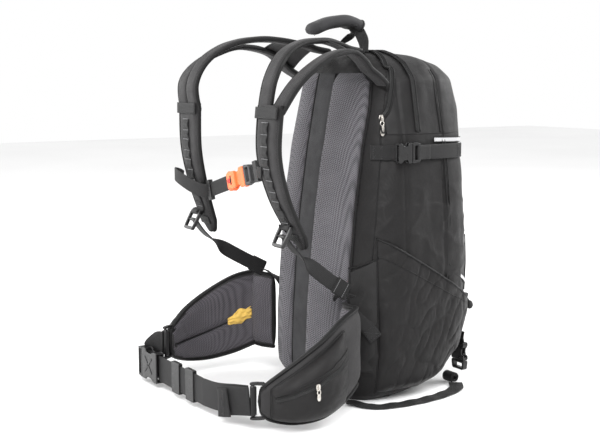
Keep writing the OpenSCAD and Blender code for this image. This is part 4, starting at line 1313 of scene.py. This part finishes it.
def plug(name, ax, w, reach, t, mat, prongs=True):
    """Plug that enters a socket at 0: a frame with a webbing bar, a guide tongue and two sprung arms."""
    hw, e = w / 2 + 4, t / 2
    parts = []
    for s in (1, -1):
        side_ = [(s * (hw - 0.5), 1.0), (s * hw, 4), (s * (hw - 1.5), 13), (s * (hw - 4.4), 15),
                 (s * (hw - 4.4), 1.0)]
        parts.append(plate(name + "_side", ax, side_, -e + 0.4, e - 0.4, mat, 0.8))
    parts.append(plate(name + "_face", ax, mirrored([(hw - 2, 1.0), (hw - 2, 4.6)]), -e + 0.2, e - 0.2,
                       mat, 0.9))
    parts.append(plate(name + "_end", ax, mirrored([(hw - 3, 11.2), (hw - 4, 15)]), -e + 0.8, e - 0.8,
                       mat, 1.1))
    parts.append(plate(name + "_tongue", ax, mirrored([(2.0, -reach * 0.7), (2.2, 1.4)]), -e + 3, e - 3,
                       mat, 0.5))
    if prongs:
        for s in (1, -1):
            arm = [(s * (w / 2 - 4.6), 1.4), (s * (w / 2 - 4.2), -reach * 0.5),
                   (s * (w / 2 - 2.2), -reach * 0.92), (s * (w / 2 + 0.2), -reach * 0.95),
                   (s * (w / 2 + 0.6), -reach * 0.70), (s * (w / 2 - 1.4), -reach * 0.5),
                   (s * (w / 2 - 1.6), 1.4)]
            parts.append(plate(name + "_arm", ax, arm, -e + 3, e - 3, mat, 0.5))
    return join(name, parts)


def tack_box(name, ax, w, length):
    """Box stitch with a cross, on the face of webbing."""
    u, v = w / 2 - 2.2, length / 2
    out = []
    for a, b in (((-u, -v), (u, -v)), ((u, -v), (u, v)), ((u, v), (-u, v)), ((-u, v), (-u, -v)),
                 ((-u, -v), (u, v)), ((-u, v), (u, -v))):
        out.append(stitch_line(name, np.array([ax(*a), ax(*b)]), 0.35, THREAD, 2.9, 2.1))
    return out


COMP_LATCH_Y, SIDE_T = 96.0, 9.0
for side, tag in ((1, "left"), (-1, "right")):
    sx = np.array([side, 1, 1])
    bx = side_x(COMP_LATCH_Y, COMP_Z - 16) + 1.6 + SIDE_T / 2
    ax = Axes((side * bx, COMP_LATCH_Y, COMP_Z), (0, 0, side), (0, 1, 0))
    place(socket("side_socket_vis_" + tag, ax, 20, 22, SIDE_T, PLASTIC), "pack",
          ["side_socket_" + tag])
    stub = np.array([[side_x(y, COMP_Z - 12) + 2.2, y, COMP_Z] for y in (54, 60, 66, 71, 75)]
                    + [[bx, 80, COMP_Z]]) * sx
    stub = even(smooth(stub, 6), 2.5)
    parts = [ribbon("comp_stub_" + tag, stub, 20, 1.8, (0, 0, 1), WEB, raw=True)]
    aw = Axes(stub[4] + np.array([side * 1.0, 0, 0]), (0, 0, 1), stub[6] - stub[3])
    parts += tack_box("comp_stub_tack", aw, 20, 12)
    place(join("comp_stub_" + tag, parts), "pack", ["side_webbing_" + tag])
    route = np.array([[bx, 106, COMP_Z], [bx - 1.4, 114, COMP_Z]]
                     + [[side_x(y, COMP_Z - 12) + 2.6, y, COMP_Z]
                        for y in (124, 138, 152, 166, 176, 184, 190, 195.5)]) * sx
    route = even(smooth(route, 6), 3)
    back = route[:9][::-1] + np.array([side * 2.6, 0, 0])
    parts = [plug("side_plug_vis_" + tag, ax, 20, 10, SIDE_T, PLASTIC),
             ribbon("comp_web", route, 20, 1.8, (0, 0, 1), WEB, raw=True),
             ribbon("comp_turn", back, 19.4, 1.6, (0, 0, 1), WEB, raw=True)]
    aw = Axes(route[-4] + np.array([side * 1.2, 0, 0]), (0, 0, 1), route[-2] - route[-5])
    parts += tack_box("comp_tack", aw, 20, 9)
    place(join("side_plug_vis_" + tag, parts), "side_plug_" + tag, ["side_plug_" + tag])

# reflective tape, split over the fixed part only
parts = []
for side in (1, -1):
    for (y0, z0), (y1, z1) in (((142, 357), (206, 355)), ((166, 180), (213, 152))):
        pts = np.array([[side_x(min(y, 214), z) + 1.3, y, z] for y,
                        z in zip(np.linspace(y0, y1, 26), np.linspace(z0, z1, 26))]) * (side, 1, 1)
        for off, r_ in ((3.2, 0.45), (-3.2, 0.45)):
            parts.append(tube("tape_edge", pts + np.array([side * 0.5, 0, off]), r_, DARK, raw=True))
        parts.append(sweep("tape", pts, band_profile(5.4, 0.9), (0, 0, 1), REFLECT))
place(join("reflective_trim_vis", parts), "pack", ["reflective_trim"])

# hanging buckle low on the outer face, its webbing tab and the strap on the floor
ax = Axes((88, 222, 32), (1, 0, 0), (0, 0, -1))
tab = smooth([(88, front_y(72) + 1.6, 74), (88, front_y(64) + 2.0, 66), (88, 221.5, 60), (88, 222, 55)], 8)
parts = [socket("bottom_socket_vis", ax, 20, 26, SIDE_T, PLASTIC),
         ribbon("bottom_tab", even(tab, 2), 20, 1.8, (1, 0, 0), WEB_DARK, raw=True)]
place(join("bottom_socket_vis", parts), "pack", ["bottom_socket"])
place(plug("bottom_plug_vis", ax, 20, 10, SIDE_T, PLASTIC), "bottom_plug", ["bottom_plug"])
route = even(smooth([[100, 14, 3], [108, 24, 1.5], [136, 38, 1.4], [146, 84, 1.4], [142, 140, 1.4],
                     [126, 184, 1.4], [104, 202, 1.6]], 8), 3)
tt = tangents(route)
flat = np.stack([tt[:, 1], -tt[:, 0], 0 * tt[:, 0]], 1)
wavy = route + np.stack([0 * tt[:, 0], 0 * tt[:, 0], 0.5 + 0.5 * np.sin(np.arange(len(route)) * 0.6)], 1)
turns = [(89 + 0 * a, 205 + (7.4 - 0.28 * a) * math.sin(a + 3.4),
          8.4 + (7.4 - 0.28 * a) * math.cos(a + 3.4)) for a in np.linspace(0, 16.5, 120)]
parts = [sweep("bottom_strap_vis", wavy, band_profile(20, 1.6), flat, WEB_DARK),
         ribbon("bottom_roll", np.array(turns), 20, 1.3, (1, 0, 0), WEB_DARK, raw=True)]
place(join("bottom_strap_vis", parts), "pack", ["bottom_strap"])

# rain cover slider with a round rubber pull
RAIN = np.array([100, 219.6, 122.0])
bodyp = sweep("rain_slider", np.array([RAIN + (0, 1.2, 6), RAIN + (0, 1.2, -6)]), band_profile(7, 3.2),
              (1, 0, 0), ZIP_METAL)
ball = []
for a in np.linspace(0.02, math.pi - 0.02, 13):
    ball.append([RAIN + np.array([6.2 * math.sin(a) * math.cos(b), 9.5 + 4.8 * math.sin(a) * math.sin(b),
                                  -8 + 6.4 * math.cos(a)]) for b in np.linspace(0, 2 * math.pi, 21)[:-1]])
ballo = grid_object("rain_ball", np.array(ball), RUBBER, wrap=True, caps=True)
loopo = tube("rain_loop", [RAIN + (0, 3.5, 3), RAIN + (0, 6.5, 1), RAIN + (0, 8.5, -3)], 1.1, RUBBER)
place(join("raincover_slider_vis", [bodyp, ballo, loopo]), "raincover_slider",
      ["raincover_slider"])

# ---------------------------------------------------------------- carrying handle
legs = []
for side in (1, -1):
    leg = np.array([[36, 86, 474], [34, 88, 480], [27, 92, 490], [13, 97, 500], [8.5, 95, 507],
                    [8.0, 82, 512]]) * (side, 1, 1)
    turn = np.array([[1, 0.3 * side, 0.4]] * 2 + [[0.85, 0.5 * side, 0.4], [0.5, 0.8 * side, 0.4],
                                                  [0.4, 0.9 * side, 0.3], [0.9, 0.3 * side, 0.1]])
    legs.append(ribbon("haul_leg", leg, 16, 1.8, turn, WEB_DARK, gap=2.0))
place(join("haul_webbing_vis", legs), "haul_handle", ["haul_webbing"])
grip = even(smooth([[0, 101, 512], [0, 90, 517], [0, 74, 519.5], [0, 48, 515.5], [0, 26, 507.5],
                    [0, 18, 503.5]], 10), 2.5)
gw = Waves(141, 30)
profs = []
for i in range(len(grip)):
    u = i / (len(grip) - 1)
    pr = pad_section(31, 17, 40, square=3.0, round_=2.2)
    near = min(1.0, (1 - u) / 0.10)
    pr = pr * (0.45 + 0.55 * near ** 0.6, 0.35 + 0.65 * near ** 0.6)
    pr = pr * (1 + 0.035 * gw(np.stack([pr[:, 0], np.full(40, i * 2.5), pr[:, 1]], 1)))[:, None]
    profs.append(pr)
g = sweep("haul_grip_vis", grip, np.array(profs), (1, 0, 0), CHANNEL, caps=True)
parts = [g]
_, gwv, gn = frames(grip, (1, 0, 0))
mouthring = [grip[1] + gwv[1] * x * 1.01 + gn[1] * y * 1.03 for x,
             y in pad_section(31, 17, 40, square=3.0, round_=2.2)]
parts.append(tube("haul_mouth", mouthring, 1.3, BIND, raw=True, closed=True))
low_side = -1 if gn[len(gn) // 2][2] > 0 else 1
seam = grip[2:-3] + gn[2:-3] * (8.6 * low_side)
parts.append(stitch_line("haul_seam", seam, 0.4, THREAD, 3.2, 2.2))
go = join("haul_grip_vis", parts)
place(go, "haul_handle", ["haul_grip"])


# ---------------------------------------------------------------- lumbar panel, belt webbing and hip buckle
def turned(v, deg):
    """Vector v turned by an angle about the vertical."""
    c, s_ = math.cos(math.radians(deg)), math.sin(math.radians(deg))
    return np.array([v[0] * c - v[1] * s_, v[0] * s_ + v[1] * c, v[2]])


def loop_round(at, r, start, stop, n=20):
    """Arc in plan round a vertical bar, from one angle to another in degrees."""
    return [np.array([at[0] + r * math.cos(math.radians(a)), at[1] + r * math.sin(math.radians(a)),
                      at[2]]) for a in np.linspace(start, stop, n)]


HIP_MOUTH, HIP_Y, HIP_Z, HIP_T, HIP_DEPTH, HIP_REACH = -158.0, -165.0, 29.0, 13.0, 50.0, 34.0
BAR_R, WEB_T, LOCK_Z, LOCK_TURN = 2.4, 1.8, 38.0, -31.0


def ladder_lock(side, rise, tag):
    """Rounded frame with a bar for the webbing, stitched to the wing's tip."""
    along = turned((0, 1, 0), LOCK_TURN) * (side, 1, 1)
    ax = Axes((side * TIP[0], TIP[1], LOCK_Z + rise), (0, 0, 1), along)
    parts = []
    for s in (1, -1):
        rail = [(s * 20.5, -3.0), (s * 23.0, -4.2), (s * 24.2, -1), (s * 24.6, 6), (s * 24.0, 14),
                (s * 21.5, 18), (s * 19.6, 16.5), (s * 20.4, 8)]
        parts.append(plate("lock_rail", ax, rail, -3.0, 3.0, PLASTIC, 1.2))
    parts.append(plate("lock_end", ax, mirrored([(22, 12.4), (21, 18.4)]), -3.1, 3.1, PLASTIC, 1.6))
    bar = [ax(u, 0) for u in np.linspace(-21.5, 21.5, 6)]
    parts.append(tube("lock_bar", bar, BAR_R - 0.1, PLASTIC, raw=True, n=14))
    # stitched tongue of the wing round the frame's end bar
    tongue = [ax(0, v, h) for v, h in ((26, -2.0), (21, -4.3), (16, -4.8), (11.2, -3.4), (10.4, 0),
                                       (11.2, 3.4), (16, 4.8), (21, 4.3), (26, 2.0))]
    parts.append(ribbon("lock_tongue", np.array(tongue), 36, 1.4, (0, 0, 1), BIND, gap=1.5))
    return place(join("ladder_lock_vis_" + tag, parts), "belt_wing_" + tag,
                 ["ladder_lock_" + tag])


ladder_lock(1, 0, "left")
ladder_lock(-1, RIGHT_RISE, "right")

at = np.array([TIP[0], TIP[1], LOCK_Z])
rr = BAR_R + 0.7 + WEB_T / 2
run = [[34, HIP_Y, HIP_Z], [66, -162, 30.5], [104, -154, 36]]
path = even(smooth([[-112, HIP_Y, HIP_Z], [-40, HIP_Y, HIP_Z], [20, HIP_Y, HIP_Z]] + run
                   + [[TIP[0] - 7, TIP[1] - 1.6, 38]], 10), 2.5)
sag = Waves(151, 90)
path[:, 1] += 0.5 * sag(path) * np.clip((path[:, 0] - 10) / 40, 0, 1) * np.clip((118 - path[:, 0]) / 20, 0, 1)
parts = [ribbon("belt_web", path, 37.5, WEB_T, (0, 0, 1), WEB, raw=True)]
wrap = even(np.array(loop_round(at, rr, 200, -60, 30)), 1.2)
parts.append(ribbon("belt_web_turn", wrap, 37, WEB_T, (0, 0, 1), WEB, raw=True))
tail = even(smooth([[TIP[0] + 0.5, TIP[1] - 4.6, 38], [118, -156.0, 36.5], [104, -160.5, 34],
                    [88, -165.8, 30.5], [83, -168.6, 29], [84.5, -170.6, 29], [92, -168.9, 30],
                    [102, -165.8, 32]], 10), 1.6)
parts.append(ribbon("belt_tail", tail, 37, WEB_T, (0, 0, 1), WEB, raw=True))
parts += tack_box("tail_tack", Axes((93, -170.2, 31), (0, 0, 1), (1, -0.2, 0)), 34, 9)
place(join("belt_webbing_vis_left", parts), "belt_strap_left", ["belt_webbing_left"])

atr = np.array([-TIP[0], TIP[1], LOCK_Z + RIGHT_RISE])
run = even(smooth([[-TIP[0] - 1.0, TIP[1] - 4.4, 60], [-133.8, -149.6, 60], [-140, -151.7, 59.0],
                   [-149, -154, 52], [-158, -156.5, 41], [-168, -158.5, 32], [-176, -161.5, HIP_Z + 0.5]],
                  10), 2.0)
tilt = np.stack([np.interp(np.linspace(0, 1, len(run)), [0, 0.4, 1], v)
                 for v in ([0, 0.45, 0.1], [0, 0, 0], [1, 0.9, 1])], 1)
parts = [ribbon("belt_web_r", run, 33, WEB_T, tilt, WEB, raw=True),
         ribbon("belt_turn_r", even(np.array(loop_round(atr, rr, -20, 240, 30)), 1.2), 36, WEB_T,
                (0, 0, 1), WEB, raw=True)]
place(join("belt_webbing_vis_right", parts), "belt_strap_right", ["belt_webbing_right"])

# hip buckle
axh = Axes((HIP_MOUTH, HIP_Y, HIP_Z), (0, 0, 1), (-1, 0, 0))
hip = socket("hip_socket_vis", axh, 38, HIP_DEPTH, HIP_T, PLASTIC, mark=False)
parts = [hip]
for a, b in (((-11, -34), (11, -10)), ((11, -34), (-11, -10))):
    pa, pb = np.array(a, float), np.array(b, float)
    d = (pb - pa) / np.linalg.norm(pb - pa)
    nn = np.array([-d[1], d[0]])
    for face in (1, -1):
        outline = [pa + nn * 1.7, pb + nn * 1.7, pb - nn * 1.7, pa - nn * 1.7]
        h0, h1 = (HIP_T / 2 - 0.4, HIP_T / 2 + 0.7) if face > 0 else (-HIP_T / 2 - 0.7, -HIP_T / 2 + 0.4)
        parts.append(plate("hip_cross", axh, [tuple(q) for q in outline], h0, h1, PLASTIC, 0.4))
place(join("hip_socket_vis", parts), "hip_socket", ["hip_socket"])
place(plug("hip_plug_vis", axh, 38, HIP_REACH, HIP_T, PLASTIC, prongs=False), "belt_strap_right",
      ["hip_plug"])

# flat keepers
parts = []
for x in (-64, -20):
    axk = Axes((x + 12, HIP_Y, HIP_Z), (0, 0, 1), (1, 0, 0))
    for face in (1, -1):
        parts.append(plate("keeper", axk, mirrored([(21.5, -12), (22, -9), (22, 9), (21.5, 12)]),
                           1.5 if face > 0 else -3.0, 3.0 if face > 0 else -1.5, PLASTIC, 0.7))
    for s in (1, -1):
        parts.append(plate("keeper_end", axk, [(s * 19.8, -12), (s * 22, -11), (s * 22, 11),
                                               (s * 19.8, 12)], -2.9, 2.9, PLASTIC, 0.7))
place(join("belt_keepers_vis", parts), "belt_keepers", ["belt_keepers"])

# lumbar panel that runs behind the pads from wing to wing
rows = []
lw = Waves(161, 50)
for v in np.linspace(0, 1, 34):
    z = 30 + 104 * v
    row = []
    for x in np.linspace(-97, 97, 90):
        lip = min(1, (97 - abs(x)) / 8) ** 0.6
        p_ = np.array([x, surface_y(x, z) - 1.4 - 1.6 * lip * min(1, min(v, 1 - v) / 0.06) ** 0.5, z])
        p_[1] -= 0.3 * lw(p_[None])[0]
        row.append(p_)
    rows.append(row)
lum = thicken(grid_object("lumbar_panel", np.array(rows), STRAP), 1.4, 0)
place(lum, "pack")


# ---------------------------------------------------------------- strap buckles and chest strap
def strap_buckle(side, k, tag):
    """Three-bar ladder lock at the strap's tip; its webbing tab is made with the strap pad."""
    c, s_ = math.cos(math.radians(28)), math.sin(math.radians(28))
    ax = Axes(np.array(BUCKLES_AT[k]) * (side, 1, 1), (1, 0, 0), (0, -s_, -c))
    parts = []
    for s in (1, -1):
        rail = [(s * 10.8, -3), (s * 13.0, -2.4), (s * 14.6, 2), (s * 14.8, 12), (s * 13.8, 22),
                (s * 12.4, 26.4), (s * 10.8, 26.8)]
        parts.append(plate("buckle_rail", ax, rail, -2.4, 2.4, PLASTIC, 0.9))
    parts.append(plate("buckle_lip", ax, mirrored([(12.5, 22.4), (11, 27.0)]), -2.2, 3.0, PLASTIC, 1.0))
    for v in (0, 12):
        parts.append(tube("buckle_bar", [ax(u, v) for u in (-12, -4, 4, 12)], 2.0, PLASTIC, raw=True, n=12))
    return place(join("strap_buckle_vis_" + tag, parts), "strap_buckle_" + tag,
                 ["strap_buckle_" + tag])


strap_buckle(1, 0, "left")
strap_buckle(-1, 1, "right")

CF, CT = np.array([-59.0, -106, 286]), np.array([59.0, -98, 320])
along = unit(CT - CF)
across = unit(np.array([0, 0, 1.0]) - along * along[2])
HALF_SPAN = float(np.linalg.norm(CT - CF)) / 2
axc = Axes((CF + CT) / 2, across, along)
run = [axc(0, v) for v in np.linspace(-HALF_SPAN - 2, -3, 30)]
parts = [ribbon("chest_web", np.array(run), 20, 1.8, across, WEB, raw=True)]
curl = even(smooth([list(axc(0, -HALF_SPAN - 1)), [-66.5, -114, 285], [-84, -122, 290], [-108, -128, 299],
                    [-128, -127, 304], [-139, -119, 303], [-137, -113.5, 300], [-134, -112, 299]], 10), 2.0)
parts.append(ribbon("chest_curl", curl, 18.5, 1.7, (0, 0, 1), WEB, raw=True))
place(join("chest_webbing_vis", parts), "chest_strap", ["chest_webbing"])
axs = Axes(axc(0, 34), across, along)
sock = socket("chest_socket_vis", axs, 20, 40, 9, ORANGE)
# whistle: a chamber on the socket's back with a red button on its face; its slot is a thin dark plate, painted
# shade standing for the opening
whistle = plate("whistle", axs, mirrored([(10.5, -38), (11.5, -24), (11.0, -18)]), -7.6, -3.5, ORANGE, 1.2)
slot_painted_shade = plate("whistle_slot", axs, mirrored([(6, -29), (6, -26)]), -7.9, -7.3, DARK, 0.1)
dot = [(3.4 * math.cos(a), -32 + 3.4 * math.sin(a)) for a in np.linspace(0, 2 * math.pi, 25)[:-1]]
button = plate("whistle_button", axs, dot, 4.2, 5.6, RED, 0.5)
button2 = plate("whistle_button_b", axs, dot, -8.4, -7.2, RED, 0.5)
place(join("chest_socket_vis", [sock, whistle, slot_painted_shade, button, button2]), "chest_socket",
      ["chest_socket"])
plug_run = [axc(0, v) for v in np.linspace(34 + 12, HALF_SPAN - 8, 14)]
parts = [plug("chest_plug_vis", axs, 20, 16, 9, GREY_PLASTIC),
         ribbon("chest_plug_web", np.array(plug_run), 19.5, 1.8, across, WEB, raw=True)]
place(join("chest_plug_vis", parts), "chest_strap", ["chest_plug"])


rows = []
for z in np.linspace(70, 354, 70):
    x1 = side_x(115, z) - 5
    x = np.linspace(-x1, x1, 60)
    q = np.stack([x, np.full(60, 115.0), np.full(60, z)], 1)
    q[:, 1] += 0.8 * BODY_WAVES[1](q) * np.clip((x1 - np.abs(x)) / 20, 0, 1)
    rows.append(q)
div = thicken(grid_object("divider_cloth", np.array(rows), LINING), 0.8, 0)
hem = tube("divider_hem", rows[-1], 1.3, BIND, raw=True)
div = join("divider_cloth", [div, hem])
place(div, "pack", ["compartment_divider"])
rows = []
for z in np.linspace(34, 330, 70):
    x = np.linspace(-92, 92, 50)
    q = np.stack([x, np.full(50, back_y(z) + 33.8), np.full(50, z)], 1)
    q[:, 1] += 0.5 * BODY_WAVES[1](q) * np.clip((z - 60) / 40, 0, 1)
    rows.append(q)
slv = thicken(grid_object("sleeve_cloth", np.array(rows), LINING), 1.0, 0)
hem = tube("sleeve_hem", rows[-1], 1.6, BIND, raw=True)
tab = ribbon("sleeve_tab", np.array([rows[-1][25] + (0, 1.5, -24), rows[-1][25] + (0, 2.2, -8),
                                     rows[-1][25] + (0, 1.6, 6), rows[-1][25] + (0, -2.6, 8),
                                     rows[-1][25] + (0, -2.6, -14)]), 20, 1.2, (1, 0, 0), WEB_DARK)
slv = join("sleeve_cloth", [slv, hem, tab])
place(slv, "pack", ["laptop_sleeve"])

# pieces that keep the CAD's own shape: their material and the width of their rounded edges
PLAIN = {"frame_sheet": (SHEET, 0.5), "frame_stays": (ALLOY, 0.6),
         "hip_prong_upper": (PLASTIC, 0.8), "hip_prong_lower": (PLASTIC, 0.8),
         "chest_slider_left": (PLASTIC, 0.8), "chest_slider_right": (PLASTIC, 0.8)}
for n, (mat, r_) in PLAIN.items():
    o = bpy.data.objects[n]
    o.data.materials.clear()
    o.data.materials.append(mat)
    bevel(o, r_, 3, 30)

# panel of the main lid that closes the front pocket's back, and tapes over the raw edges round the mouths
rows = []
for z in np.concatenate([np.linspace(365, 468, 44), [471, 473]]):
    lim = side_x(114.5, z) - 2.4
    if z > 455:
        lim = min(lim, rows[-1][-1][0] * 0.97 if rows else lim)
    x = np.linspace(-lim, lim, 60)
    q = np.stack([x, np.full(60, 114.3), np.full(60, z)], 1)
    q[:, 1] += 0.6 * BODY_WAVES[1](q) * np.clip((lim - np.abs(x)) / 20, 0, 1)
    rows.append(q)
lid_panel = thicken(grid_object("lid_panel", np.array(rows), LINING), 1.4, 0)
place(join("lid_panel", [lid_panel, tube("lid_panel_hem", rows[0], 1.2, BIND, raw=True)]), "main_lid")

for name, body, y0, y1, z_, inn in (("mouth_tape_pack", "pack", 74, 214, LID_Z - 2.4, 3.2),
                                    ("mouth_tape_lid", "main_lid", 74, 113, LID_Z + 2.6, 3.2),
                                    ("mouth_tape_cover", "front_lid", 119, 214, LID_Z + 2.6, 3.2)):
    bits = []
    for side in (1, -1):
        line = np.array([(side * (side_x(y, z_) - inn), y, z_) for y in np.linspace(y0, y1, 50)])
        bits.append(sweep(name, line, band_profile(4.6, 1.2), (0, 0, 1), BIND))
    place(join(name, bits), body)

# webbing that runs on from the strap's foot across the fin
for side, tag in ((1, "left"), (-1, "right")):
    low = np.array([(side * 113.5, 10, 155)] + [on_body(y, z, off, side) for y, z,
                                                off in ((20, 142, 8), (30, 124, 7.0), (42, 104, 6.6),
                                                        (50, 90, 6.4))])
    low = even(smooth(low, 8), 2.5)
    lt = tangents(low)
    wv = unit(np.cross(lt, np.broadcast_to([float(side), -0.35, 0], lt.shape)))
    parts = [sweep("fin_web", low, band_profile(20, 1.7), wv, WEB)]
    aw = Axes(low[-5] + np.array([side * 1.2, 0, 0]), wv[-5], lt[-5])
    parts += tack_box("fin_tack", aw, 20, 14)
    place(join("fin_web_" + tag, parts), "pack")

# short tabs that hold the chest strap's sliders on the shoulder straps
for end, k, side, body, tag in ((CT, 0, 1, "chest_slider_left", "left"), (CF, 1, -1, "chest_strap", "right")):
    pad = even(smooth(PAD_ROUTES[k], 10), 2.0) * (side, 1, 1)
    near = pad[int(np.argmin(np.abs(pad[:, 2] - end[2])))]
    route = [end + (-side * 1.5, 0, 0), end + (side * 3, -1.5, 0),
             np.array([side * 72, near[1] - 6.6, end[2]]), np.array([side * 84, near[1] - 7.6, end[2]])]
    tabs = [ribbon("chest_tab", np.array(route), 15, 1.3, (0, 0, 1), WEB_DARK, gap=1.5)]
    place(join("chest_tab_" + tag, tabs), body)

# ---------------------------------------------------------------- camera, light and floor
TARGET = Vector(row_point((0, 60, 250)))
AZ, EL, DIST = math.radians(57), math.radians(7), 1.6
PHOTO_WIDTH, SENSOR = 600, 36
FOCAL_PIXELS = 1120
SHIFT_RIGHT, SHIFT_UP = -34, -8     # of the picture, in pixels
BACKWARD = Vector((math.sin(AZ) * math.cos(EL), -math.cos(AZ) * math.cos(EL), math.sin(EL)))
cam = bpy.data.objects.new("camera", bpy.data.cameras.new("camera"))
bpy.context.collection.objects.link(cam)
cam.location = TARGET + BACKWARD * DIST
cam.rotation_euler = BACKWARD.to_track_quat("Z", "Y").to_euler()
cam.data.sensor_width = SENSOR
cam.data.lens = FOCAL_PIXELS / PHOTO_WIDTH * SENSOR
cam.data.shift_x = SHIFT_RIGHT / PHOTO_WIDTH
cam.data.shift_y = SHIFT_UP / PHOTO_WIDTH
cam.data.clip_end = 50
bpy.context.scene.camera = cam

plain = Nodes("floor_paint", rough=0.9)
plain.colour(plain.noise(900, 2), (0.86, 0.86, 0.86), (0.9, 0.9, 0.9))
floor = mesh_object("floor", [(-6000, -6000, -0.3), (6000, -6000, -0.3), (6000, 6000, -0.3),
                              (-6000, 6000, -0.3)],
                    [(0, 1, 2, 3)], plain.mat)


def lamp(name, at, size, power, aim=(0, 0, 0.25)):
    d = bpy.data.lights.new(name, "AREA")
    d.size = size
    d.energy = power
    o = bpy.data.objects.new(name, d)
    bpy.context.collection.objects.link(o)
    o.location = at
    o.rotation_euler = (Vector(at) - Vector(aim)).to_track_quat("Z", "Y").to_euler()
    return o


lamp("key", (1.5, -1.3, 1.9), 1.3, 60)
lamp("fill", (-1.8, -1.4, 1.1), 1.8, 30)
lamp("rim", (0.6, 2.2, 1.6), 1.3, 60)
lamp("front", (0.2, -2.4, 0.7), 1.6, 16)
world = bpy.data.worlds.new("studio")
bpy.context.scene.world = world
world.use_nodes = True
world.node_tree.nodes["Background"].inputs["Color"].default_value = (1, 1, 1, 1)
world.node_tree.nodes["Background"].inputs["Strength"].default_value = 1.0
bpy.context.scene.view_settings.view_transform = "Standard"
